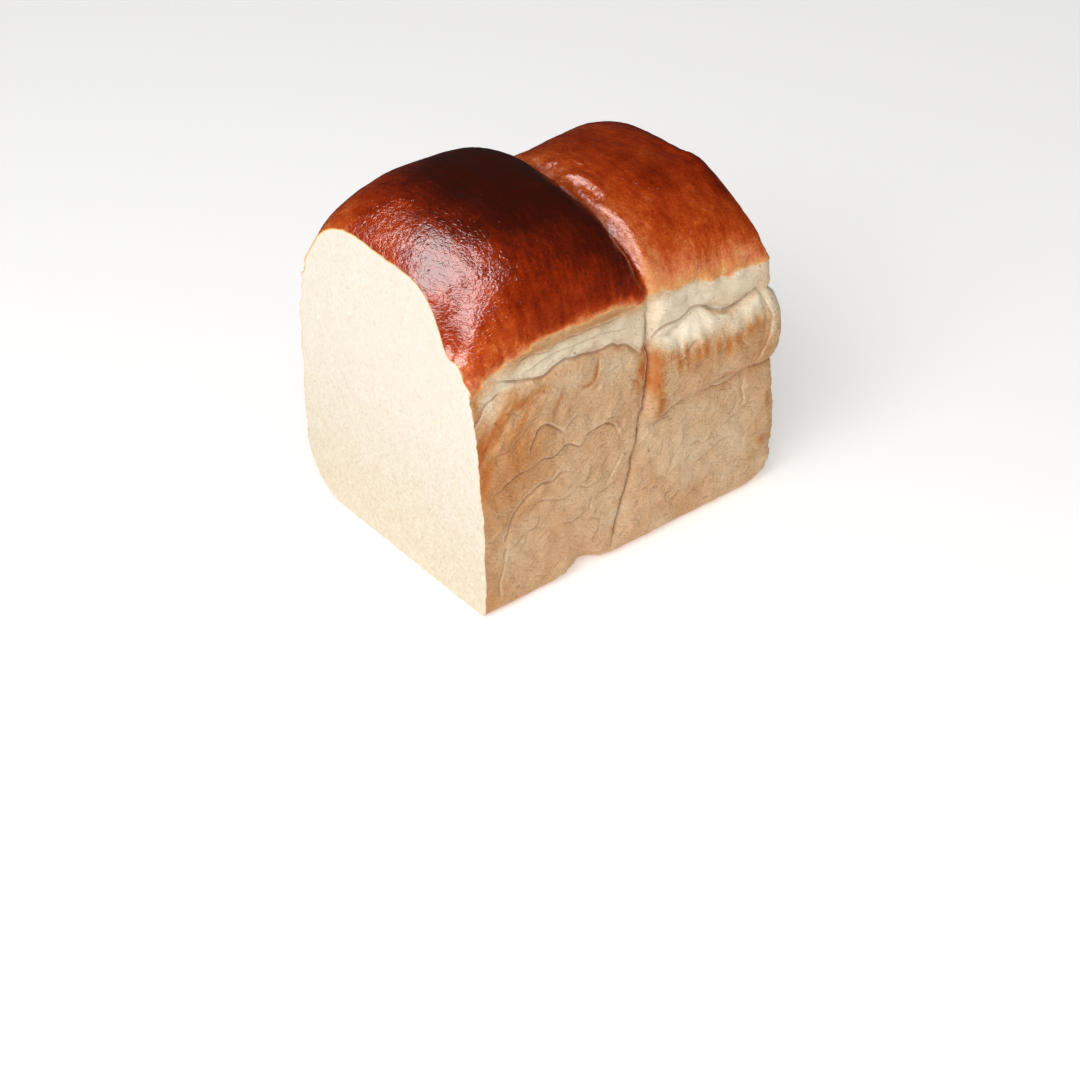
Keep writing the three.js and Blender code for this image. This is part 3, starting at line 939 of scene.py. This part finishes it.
def hump_heat(points):
    x, y, z = points.T
    above = z - crust_edge(x, y) + 0.3 * ripples(points, 2.5, 31) + 0.8 * ripples(points, 8, 32)
    hottest = lerp(0.45, 1.0, smooth(x, -80, -26)) - 0.1 * smooth(y, 15, 45) * smooth(-x, -5, 20)
    hottest += 0.3 * bell(x + 70, 11) * bell(y + 35, 18) + 0.08 * bell(x + 2, 16) * bell(y + 50, 14)
    paler_flank = 0.22 * smooth(crest(x) - z, 1, 8) * (1 - 0.4 * smooth(x, -20, 0))
    tall = hottest * np.interp(above, *TALL_BROWNING) * (1 - paler_flank)
    hottest = lerp(0.42, 0.57, smooth(x, 14, 46)) - 0.05 * bell(x - 50, 5)
    low = hottest * np.interp(above, *LOWER_BROWNING)
    heat = lerp(tall, low, smooth(x, *SEAM_STEP))
    heat += 0.22 * bell(np.hypot((x - 65) / 2.5, (y + 33) / 6), 1) + 0.1 * bell(np.hypot(x - 66, y + 20), 5)
    mottled = 0.02 * ripples(points, 12, 33) + 0.012 * ripples(points, 5, 34)
    return clamp(heat + mottled * smooth(heat, 0.05, 0.3))


# %% [markdown]
# Toasted spots sit where the skin touched hot metal or stood proud: at the seam, at the cut edge and
# in short streaks down the roll. Each is an ellipse on the wall: middle, half width, half height, how
# much browner it is and, for the streaks that lean over, how far they lean for each mm of height. The
# pale spots are written the same way, and say how much paler.

# %% Toasted spots and pale spots
TOASTED = [
    (12, 84, 4.8, 5.0, 0.31), (10, 77, 3.4, 8.0, 0.33), (12, 66, 2.2, 7.0, 0.22),
    (18, 84, 3.6, 3.0, 0.2), (6, 82, 2.4, 4.5, 0.3), (8, 88, 1.2, 5.0, 0.25), (22, 81, 1.3, 5.0, 0.26),
    (26, 82, 1.2, 4.4, 0.26), (31, 80, 1.4, 3.4, 0.22), (35, 81, 1.6, 3.2, 0.25),
    (41, 80, 1.3, 3.0, 0.2), (46, 78, 1.4, 4.2, 0.22), (51, 80, 2.2, 2.4, 0.19),
    (57, 82, 2.0, 3.2, 0.17), (62, 82, 1.6, 3.0, 0.14), (-74, 77, 2.6, 8.0, 0.28, 0.4),
    (-67, 84, 1.6, 11.0, 0.28, 0.75), (-62, 87, 1.3, 9.0, 0.24, 0.75), (-72, 66, 1.5, 7.0, 0.2, 0.3),
    (-54, 92, 6.5, 2.4, 0.17), (-45, 94, 4.5, 1.8, 0.14), (-17, 89, 1.3, 4.5, 0.17, 0.3),
    (-73, 68, 1.6, 3.0, 0.18), (-21, 86, 3.5, 0.9, 0.12), (-53, 86, 1.1, 7.0, 0.15, 0.8),
    (-37, 84, 1.1, 6.0, 0.12, 0.7), (30, 76, 14.0, 5.0, 0.05), (52, 76, 9.0, 5.0, 0.05),
    (-73, 97, 1.4, 4.0, 0.14), (3, 77, 1.6, 5.0, 0.14), (71, 40, 1.5, 4.0, 0.12),
    (68, 22, 3.0, 2.0, 0.1),
]
PALE = [
    (18, 103, 7.0, 6.0, 0.9), (-67, 94, 3.5, 6.0, 0.8), (30, 92, 20.0, 4.5, 1.3),
    (60, 92, 6.0, 5.0, 1.0), (-44, 103, 14.0, 4.0, 0.5), (-10, 102, 20.0, 5.0, 0.25),
    (69, 9, 5.0, 6.0, 0.3), (-10, 20, 8.0, 12.0, 0.3), (72, 80, 3.5, 12.0, 0.6),
    (45, 101, 22.0, 5.0, 0.6), (47, 109, 1.0, 3.5, 0.8), (-8, 90, 10.0, 6.0, 0.35),
    (-32, 92, 9.0, 4.5, 0.55), (-61, 91, 3.5, 4.5, 0.5),
]


def spots(flat, table):
    strength = np.zeros(len(flat))
    for x, z, wide, tall, amount, *lean in table:
        above = flat[:, 1] - z
        gap = np.hypot((flat[:, 0] - x - sum(lean) * above) / wide, above / tall)
        strength = np.maximum(strength, amount * bell(gap, 1))
    return strength


def scattered(count, low, high, size, amount, seed):
    """A table of spots at random places of a wall."""
    rng = np.random.default_rng(seed)
    ranges = ((low[0], high[0]), (low[1], high[1]), size, size, amount)
    return [tuple(rng.uniform(*limits) for limits in ranges) for _ in range(count)]


print("spots:", len(TOASTED), "toasted,", len(PALE), "pale")

# %% [markdown]
# Now the values are painted on, each as an attribute with one number for each point. The skin starts
# at an even tan, and every place that the tin browned more or less is added to it or taken off.


# %% Paint the four values on the mesh
def wall_spots(points, normals, front_table, seed, amount):
    """The front wall's own spots, and scattered ones on the back and the end."""
    front, back, end = (smooth(v, 0.3, 0.7) for v in (-normals[:, 1], normals[:, 1], normals[:, 0]))
    flat_side, flat_end = points[:, [0, 2]], points[:, [1, 2]]
    back_table = scattered(18, (-70, 60), (72, 90), (1.2, 4), amount, seed)
    end_table = scattered(9, (-45, 60), (50, 90), (1.5, 5), amount, seed + 1)
    value = np.maximum(front * spots(flat_side, front_table), back * spots(flat_side, back_table))
    return np.maximum(value, end * spots(flat_end, end_table))


def paint(piece, name, values):
    layer = piece.data.attributes.new(name, "FLOAT", "POINT")
    layer.data.foreach_set("value", np.ascontiguousarray(values, dtype=np.float32))


BROWNEST = 1.4  # the tan of a toasted spot
points, normals = coordinates(loaf), facing(loaf)
x, y, z = points.T
high, low = upper_crease(x, y), lower_crease(x, y)
toasted = wall_spots(points, normals, TOASTED, 41, (0.04, 0.09))
toasted *= 1 - smooth(z, 100, 108)
bake = hump_heat(points)

before_seam = 1 - beyond_seam(x, z)
in_band = smooth(z, high - 1, high + 1) * (1 - smooth(z, RIM + 3, RIM + 7))
on_roll = smooth(z, low, low + 3) * (1 - smooth(z, high - 1, high + 1)) * (1 - before_seam)
tan = 0.58 + 0.04 * ripples(points, 16, 42) + 0.025 * ripples(points, 6, 43)
tan += before_seam * (0.34 * bell(x + 58, 18) * bell(z - 68, 20) + 0.15 * bell(x + 73, 5))
tan -= 0.07 * (1 - before_seam) * (1 - smooth(z, 52, 62))
tan += 0.02 * (1 - smooth(z, 8, 30)) + 0.12 * bell(x - 68, 9)
tan += 0.26 * before_seam * bell(z - crust_edge(x, y) + 2, 3)
# the band is paler skin; the roll pales towards its top, partly its own paler skin and partly a painted
# highlight where it catches light from above
tan -= 0.32 * in_band + 0.38 * on_roll * smooth(z, high - 13, high - 4)
tan += 0.02 * on_roll * (1 - smooth(z, high - 20, high - 12))
tan -= 0.6 * smooth(-normals[:, 1], 0.3, 0.7) * spots(points[:, [0, 2]], PALE) * tan
tan += 0.25 * smooth(-normals[:, 2], 0.5, 0.9) + 3.2 * toasted
tan = clamp(tan, 0, BROWNEST)
# the painted crease shade and lip highlight, stored as distance from each stroke and its strength
_, from_line, painted_crease_shading = all_strokes(points)
for name, values in {"bake": bake, "tan": tan, "from_line": from_line, "painted_crease_shading": painted_crease_shading}.items():
    paint(loaf, name, values)
    print(name, "from", round(float(values.min()), 2), "to", round(float(values.max()), 2))

# %% [markdown]
# The cut face shows the crust from its side, as a golden rim that is thick over the hump and hardly
# there along the walls. For each point of the crumb the nearest point of the cut's edge is looked up,
# and its heat and distance are stored.

# %% Paint the rim of the cut
FAR_FROM_RIM = 9.0  # stands on all points that aren't crumb, in mm
tree = kdtree.KDTree(len(edge_of_cut))
for number, index in enumerate(edge_of_cut):
    tree.insert(loaf.data.vertices[index].co, number)
tree.balance()
rim_gap = np.full(len(points), FAR_FROM_RIM)
rim_bake = np.zeros(len(points))
crumb_points = {i for face in crumb_faces for i in face.vertices}
for index in crumb_points:
    _, number, gap = tree.find(loaf.data.vertices[index].co)
    rim_gap[index] = gap / MM
    rim_bake[index] = bake[edge_of_cut[number]]
paint(loaf, "rim_gap", rim_gap)
paint(loaf, "rim_bake", rim_bake)
print("rim painted on", len(crumb_points), "points")

# %% [markdown]
# ## Finishes
#
# Each effect is built once, as a node group with named sockets, and placed with its own values
# wherever it is needed. There are four: `mottling` breaks up an even tone, `sponge` gives pores and
# their bump, `crepe` draws the lines of shrunken skin, and `oven_colours` turns heat into colour.


# %% Helpers for nodes
def colour(code):
    """A colour as written on a paint card, in linear light."""
    values = [int(code[i : i + 2], 16) / 255 for i in (0, 2, 4)]
    return (*[v / 12.92 if v < 0.04045 else ((v + 0.055) / 1.055) ** 2.4 for v in values], 1)


class Recipe:
    """A node tree with a short way of adding and joining nodes."""

    def __init__(self, tree):
        self.tree = tree

    def node(self, kind, values=(), **settings):
        made = self.tree.nodes.new(kind)
        for key, value in settings.items():
            setattr(made, key, value)
        for key, value in dict(values).items():
            self.feed(made, key, value)
        return made

    def feed(self, node, key, value):
        if isinstance(value, bpy.types.NodeSocket):
            self.tree.links.new(value, node.inputs[key])
        else:
            node.inputs[key].default_value = value

    def maths(self, operation, a, b=0.0, c=0.0):
        return self.node("ShaderNodeMath", {0: a, 1: b, 2: c}, operation=operation).outputs[0]

    def step(self, value, low, high, bottom=0.0, top=1.0):
        values = {"Value": value, "From Min": low, "From Max": high, "To Min": bottom, "To Max": top}
        return self.node("ShaderNodeMapRange", values, interpolation_type="SMOOTHSTEP").outputs[0]

    def mix(self, share, a, b, blend="MIX"):
        colours = {0: share, 6: a, 7: b}  # the Mix node's sockets for colours, by number
        return self.node("ShaderNodeMix", colours, data_type="RGBA", blend_type=blend).outputs[2]

    def ramp(self, value, stops):
        made = self.node("ShaderNodeValToRGB", {0: value})
        strip = made.color_ramp
        strip.elements.remove(strip.elements[1])
        for number, (place, code) in enumerate(stops):
            stop = strip.elements[0] if number == 0 else strip.elements.new(place)
            stop.position, stop.color = place, colour(code)
        return made.outputs[0]

    def attribute(self, name):
        return self.node("ShaderNodeAttribute", attribute_name=name).outputs["Fac"]


def effect(name, inputs, outputs):
    """An empty node group with its sockets. Returns the recipe and the group's ends."""
    tree = bpy.data.node_groups.new(name, "ShaderNodeTree")
    for title, start in inputs.items():
        kind = "NodeSocketVector" if isinstance(start, tuple) else "NodeSocketFloat"
        socket = tree.interface.new_socket(title, in_out="INPUT", socket_type=kind)
        socket.default_value = start
    for title, kind in outputs.items():
        tree.interface.new_socket(title, in_out="OUTPUT", socket_type=kind)
    recipe = Recipe(tree)
    return recipe, recipe.node("NodeGroupInput").outputs, recipe.node("NodeGroupOutput")


# %% [markdown]
# `mottling` adds two sizes of cloudy noise to a value. Real crust is never one tone over more than a
# few millimetres.

# %% Effect: mottling
recipe, given, result = effect(
    "mottling", {"Place": (0.0, 0.0, 0.0), "Size mm": 4.0, "Amount": 0.1}, {"Offset": "NodeSocketFloat"}
)
per_metre = recipe.maths("DIVIDE", 1000, given["Size mm"])
noise = recipe.node(
    "ShaderNodeTexNoise", {"Vector": given["Place"], "Scale": per_metre, "Detail": 4.0, "Roughness": 0.6}
)
centred = recipe.maths("SUBTRACT", noise.outputs["Fac"], 0.5)
recipe.feed(result, "Offset", recipe.maths("MULTIPLY", centred, recipe.maths("MULTIPLY", given["Amount"], 4)))
MOTTLING = recipe.tree
print("effect:", MOTTLING.name)

# %% [markdown]
# `sponge` is a field of small hollows: cells of a Voronoi pattern, bent by noise so that they do not
# look like tiles. Its height goes into bump, and its pores darken the colour as painted shade in the hollows.

# %% Effect: sponge
recipe, given, result = effect(
    "sponge",
    {"Place": (0.0, 0.0, 0.0), "Cell mm": 1.2, "Share": 0.5},
    {"Height": "NodeSocketFloat", "Pores": "NodeSocketFloat"},
)
per_metre = recipe.maths("DIVIDE", 1000, given["Cell mm"])
bend = recipe.node("ShaderNodeTexNoise", {"Vector": given["Place"], "Scale": per_metre, "Detail": 1.0})
bent = recipe.node(
    "ShaderNodeVectorMath",
    {0: bend.outputs["Color"], 1: (0.0012, 0.0012, 0.0012), 2: given["Place"]},
    operation="MULTIPLY_ADD",
).outputs[0]
cells = recipe.node("ShaderNodeTexVoronoi", {"Vector": bent, "Scale": per_metre, "Randomness": 1.0})
picked = recipe.node("ShaderNodeSeparateColor", {0: cells.outputs["Color"]}).outputs[0]
chosen = recipe.step(picked, 0.0, given["Share"], 1.0, 0.0)
hollow = recipe.step(cells.outputs["Distance"], 0.0, 0.42, 1.0, 0.0)
pores = recipe.maths("MULTIPLY", hollow, chosen)
recipe.feed(result, "Pores", pores)
recipe.feed(result, "Height", recipe.maths("SUBTRACT", 1.0, pores))
SPONGE = recipe.tree
print("effect:", SPONGE.name)

# %% [markdown]
# `crepe` is skin drawn together: thin lines where a cloudy noise passes its middle value. The noise is
# stretched, because the skin shrank more in height than in length.

# %% Effect: crepe
recipe, given, result = effect(
    "crepe", {"Place": (0.0, 0.0, 0.0), "Size mm": 4.0, "Width": 0.05}, {"Line": "NodeSocketFloat"}
)
per_metre = recipe.maths("DIVIDE", 1000, given["Size mm"])
stretched = recipe.node(
    "ShaderNodeVectorMath", {0: given["Place"], 1: (0.6, 0.6, 1.3)}, operation="MULTIPLY"
).outputs[0]
noise = recipe.node(
    "ShaderNodeTexNoise", {"Vector": stretched, "Scale": per_metre, "Detail": 2.0, "Roughness": 0.5}
)
from_middle = recipe.maths("ABSOLUTE", recipe.maths("SUBTRACT", noise.outputs["Fac"], 0.5))
recipe.feed(result, "Line", recipe.step(from_middle, 0.0, given["Width"], 1.0, 0.0))
CREPE = recipe.tree
print("effect:", CREPE.name)

# %% [markdown]
# `oven_colours` is the colour card of browning, from cream through gold, orange and red brown to
# nearly black mahogany.

# %% Effect: oven colours
recipe, given, result = effect("oven_colours", {"Heat": 0.5}, {"Color": "NodeSocketColor"})
BROWNING = [
    (0.0, "EAC48C"), (0.12, "E8A45C"), (0.25, "DC763C"), (0.36, "C14E16"), (0.48, "A63608"),
    (0.60, "8E2600"), (0.70, "6E1C03"), (0.80, "541302"), (0.90, "440F03"), (1.0, "3C0E02"),
]
recipe.feed(result, "Color", recipe.ramp(given["Heat"], BROWNING))
OVEN = recipe.tree
print("effect:", OVEN.name)


# %% [markdown]
# The crust is one finish for the whole outside, because on real bread the shine begins gradually. Dry
# tan skin below, egg-shell gold at the edge, and a glaze over the humps. The glaze needs no coat of its
# own: it is the same skin, only smoother, so its roughness falls as the heat rises.

# %% Finish: crust
def use(recipe, group, **values):
    made = recipe.node("ShaderNodeGroup", node_tree=group)
    for key, value in values.items():
        recipe.feed(made, key.replace("_", " "), value)
    return made.outputs


def start_finish(material):
    material.use_nodes = True
    recipe = Recipe(material.node_tree)
    shader = material.node_tree.nodes["Principled BSDF"]
    place = recipe.node("ShaderNodeTexCoord").outputs["Object"]
    return recipe, shader, place


TANS = [
    (0.0, "F8E8CE"), (0.25, "E6D2B2"), (0.5, "DFB88E"), (0.72, "D29E6B"), (1.0, "C98443"),
    (BROWNEST, "C46916"),
]
CRUST_BUMP = 0.0004  # metres of height for a height value of 1
recipe, shader, place = start_finish(loaf.data.materials[CRUST])
heat, skin, from_line, painted_crease_shading = (recipe.attribute(name) for name in ("bake", "tan", "from_line", "painted_crease_shading"))
on_walls = recipe.step(heat, 0.03, 0.2, 1.0, 0.0)

# skin and browning
coarse = use(recipe, MOTTLING, Place=place, Size_mm=5.0, Amount=0.04)["Offset"]
fine = use(recipe, MOTTLING, Place=place, Size_mm=1.0, Amount=0.05)["Offset"]
cloudy = recipe.maths("ADD", coarse, fine)
grain = use(recipe, MOTTLING, Place=place, Size_mm=0.7, Amount=0.12)["Offset"]
skin_tone = recipe.maths("ADD", skin, recipe.maths("ADD", cloudy, grain))
skin_stops = [(tone / BROWNEST, code) for tone, code in TANS]
skin_colour = recipe.ramp(recipe.maths("DIVIDE", skin_tone, BROWNEST), skin_stops)
down = recipe.node("ShaderNodeVectorMath", {0: place, 1: (1.0, 0.22, 0.22)}, operation="MULTIPLY").outputs[0]
streaks = use(recipe, MOTTLING, Place=down, Size_mm=2.2, Amount=0.05)["Offset"]
blotches = recipe.maths("ADD", cloudy, streaks)
uneven = recipe.maths("MULTIPLY", blotches, recipe.step(heat, 0.0, 0.25, 0.0, 1.6))
hot_colour = use(recipe, OVEN, Heat=recipe.maths("ADD", heat, uneven))["Color"]
browned = recipe.step(recipe.maths("ADD", heat, uneven), 0.0, 0.16)
base = recipe.mix(browned, skin_colour, hot_colour)

# pores and creases: painted shade in the pores and in the creases, a painted highlight on the lips
holes = use(recipe, SPONGE, Place=place, Cell_mm=1.7, Share=0.22)
firm = recipe.step(skin, 0.15, 0.5, 0.35, 1.0)
painted_pore_shade = recipe.maths("MULTIPLY", recipe.maths("MULTIPLY", holes["Pores"], on_walls), 0.45)
painted_pore_shade = recipe.maths("MULTIPLY", painted_pore_shade, firm)
# painted shade in the pores: they are darkened towards C08A5C
base = recipe.mix(painted_pore_shade, base, colour("C08A5C"), "MULTIPLY")
gap = recipe.maths("ABSOLUTE", from_line)
groove = recipe.maths("MULTIPLY", recipe.step(gap, 0.05, 0.85, 1.0, 0.0), painted_crease_shading)
from_lip = recipe.maths("ABSOLUTE", recipe.maths("SUBTRACT", from_line, 1.0))
lip = recipe.maths("MULTIPLY", recipe.step(from_lip, 0.0, 0.8, 1.0, 0.0), painted_crease_shading)
# painted shade in the creases: each groove is darkened towards A4704A
base = recipe.mix(recipe.maths("MULTIPLY", groove, 0.75), base, colour("A4704A"), "MULTIPLY")
# painted highlight on the lip beside each crease
base = recipe.mix(recipe.maths("MULTIPLY", lip, 0.55), base, colour("FBE9CE"))
recipe.feed(shader, "Base Color", base)

# glaze
glazed = recipe.step(heat, 0.1, 0.44)
shader.inputs["Specular IOR Level"].default_value = 0.5
recipe.feed(shader, "Roughness", recipe.step(glazed, 0.0, 1.0, 0.8, 0.17))

# relief: wrinkled film on the humps, pores, creases and drawn skin on the walls
blister = recipe.node(
    "ShaderNodeTexNoise", {"Vector": place, "Scale": 520.0, "Detail": 3.0, "Roughness": 0.6}
)
film = use(recipe, CREPE, Place=place, Size_mm=3.0, Width=0.04)["Line"]
bubbles = use(recipe, SPONGE, Place=place, Cell_mm=2.4, Share=0.2)["Pores"]
glaze_height = recipe.maths("SUBTRACT", blister.outputs["Fac"], recipe.maths("MULTIPLY", film, 0.2))
glaze_height = recipe.maths("ADD", glaze_height, recipe.maths("MULTIPLY", bubbles, 0.8))
flat_lying = recipe.node(
    "ShaderNodeVectorMath", {0: place, 1: (0.6, 0.6, 1.2)}, operation="MULTIPLY"
).outputs[0]
skin_noise = recipe.node(
    "ShaderNodeTexNoise", {"Vector": flat_lying, "Scale": 540.0, "Detail": 4.0, "Roughness": 0.6}
)
turn = {"Vector": place, "Rotation": (0.0, math.radians(-25), 0.0), "Scale": (0.8, 0.8, 1.1)}
slanting = recipe.node("ShaderNodeMapping", turn).outputs[0]
drawn = use(recipe, CREPE, Place=slanting, Size_mm=4.4, Width=0.2)["Line"]
patches = recipe.step(use(recipe, MOTTLING, Place=place, Size_mm=14.0, Amount=0.5)["Offset"], -0.2, 0.3)
drawn = recipe.maths("MULTIPLY", drawn, patches)
skin_height = recipe.maths("MULTIPLY", skin_noise.outputs["Fac"], 3.2)
skin_height = recipe.maths("ADD", skin_height, recipe.maths("MULTIPLY", grain, 1.6))
skin_height = recipe.maths("SUBTRACT", skin_height, recipe.maths("MULTIPLY", drawn, 1.3))
skin_height = recipe.maths("MULTIPLY", skin_height, firm)
skin_height = recipe.maths("SUBTRACT", skin_height, recipe.maths("MULTIPLY", holes["Pores"], 1.2))
crease_height = recipe.maths("SUBTRACT", lip, recipe.maths("MULTIPLY", groove, 1.3))
skin_height = recipe.maths("ADD", skin_height, crease_height)
glaze_height = recipe.maths("MULTIPLY", glaze_height, 0.75)
height = recipe.node("ShaderNodeMix", {0: on_walls, 2: glaze_height, 3: skin_height}).outputs[0]
bump = recipe.node("ShaderNodeBump", {"Height": height, "Distance": CRUST_BUMP, "Strength": 1.0})
recipe.feed(shader, "Normal", bump.outputs[0])
print("finish: crust")

# %% [markdown]
# Crumb is almost white and full of light: a little of it wanders under the surface before it comes out
# again, which is what subsurface scattering does. The rim is golden, and it shows only as far as the
# crust behind it was hot.

# %% Finish: crumb
CRUMB_BUMP = 0.00028
recipe, shader, place = start_finish(loaf.data.materials[CRUMB])
rim_gap, rim_heat = recipe.attribute("rim_gap"), recipe.attribute("rim_bake")
cloudy = use(recipe, MOTTLING, Place=place, Size_mm=7.0, Amount=0.10)["Offset"]
threads = use(recipe, MOTTLING, Place=place, Size_mm=1.6, Amount=0.24)["Offset"]
cells = use(recipe, SPONGE, Place=place, Cell_mm=2.0, Share=0.7)
stains = use(recipe, SPONGE, Place=place, Cell_mm=5.0, Share=0.14)["Pores"]
# painted shade in the crumb's cells: they darken the tone
tone = recipe.maths("ADD", recipe.maths("MULTIPLY", cells["Pores"], 0.2), recipe.maths("ADD", cloudy, 0.1))
tone = recipe.maths("ADD", recipe.maths("ADD", tone, threads), recipe.maths("MULTIPLY", stains, 0.3))
height_in_loaf = recipe.node("ShaderNodeSeparateXYZ", {0: place}).outputs["Z"]
tone = recipe.maths("ADD", tone, recipe.step(height_in_loaf, 0.0, 0.11, 0.36, 0.0))
white = recipe.ramp(tone, [(0.0, "EEE6D9"), (0.3, "E8DDCA"), (0.6, "DCCCB0"), (1.0, "C9B28C")])
uneven_gap = recipe.maths("ADD", rim_gap, cloudy)
GOLD_RIM = [(0.0, "CF863C"), (0.3, "E8B264"), (0.6, "F0CF98"), (1.0, "F0E0C0")]
gold = recipe.ramp(uneven_gap, GOLD_RIM)
baked_rim = recipe.step(rim_heat, 0.0, 0.25, 0.3, 1.0)
rim_amount = recipe.maths("MULTIPLY", recipe.step(uneven_gap, 0.3, 1.4, 1.0, 0.0), baked_rim)
recipe.feed(shader, "Base Color", recipe.mix(rim_amount, white, gold))
shader.inputs["Roughness"].default_value = 0.85
shader.inputs["Specular IOR Level"].default_value = 0.1
shader.inputs["Subsurface Weight"].default_value = 0.15
shader.inputs["Subsurface Radius"].default_value = (0.0025, 0.002, 0.0012)
shader.inputs["Subsurface Scale"].default_value = 1.0
grain = recipe.node("ShaderNodeTexNoise", {"Vector": place, "Scale": 1100.0, "Detail": 3.0, "Roughness": 0.7})
height = recipe.maths("ADD", recipe.maths("MULTIPLY", cells["Height"], 0.45), grain.outputs["Fac"])
height = recipe.maths("SUBTRACT", height, threads)
bump = recipe.node("ShaderNodeBump", {"Height": height, "Distance": CRUMB_BUMP, "Strength": 1.0})
recipe.feed(shader, "Normal", bump.outputs[0])
print("finish: crumb")

# %% [markdown]
# The table is a plain pale top. It glows a little by itself, so that it stays even and bright although
# most of the light comes from the left.

# %% Finish: table
table_finish = bpy.data.materials.new("table_top")
table_finish.use_nodes = True
shader = table_finish.node_tree.nodes["Principled BSDF"]
shader.inputs["Base Color"].default_value = colour("EDECEA")
shader.inputs["Roughness"].default_value = 0.7
shader.inputs["Emission Color"].default_value = (1, 1, 1, 1)
shader.inputs["Emission Strength"].default_value = 0.38
table.data.materials.append(table_finish)
print("finish: table")

# %% [markdown]
# ## Move the loaf onto the frame
#
# The loaf was modelled in the tin, and the frame's origin is the middle of the base, so it is moved
# there in edit mode: its object stays at the origin and its place is in its mesh.

ACROSS_SHIFT = -1.27 * MM  # the back wall bulges more than the front one
to_frame = (LOW.x + HALF_LENGTH * MM, ACROSS_SHIFT, 0)
pick(loaf)
bpy.ops.object.mode_set(mode="EDIT")
bpy.ops.mesh.select_all(action="SELECT")
bpy.ops.transform.translate(value=to_frame)
bpy.ops.object.mode_set(mode="OBJECT")
triangles = sum(len(face.vertices) - 2 for face in loaf.data.polygons)
print("moved by", [round(v / MM, 2) for v in to_frame], "mm,", triangles, "triangles")
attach(loaf, "root")
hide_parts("loaf")
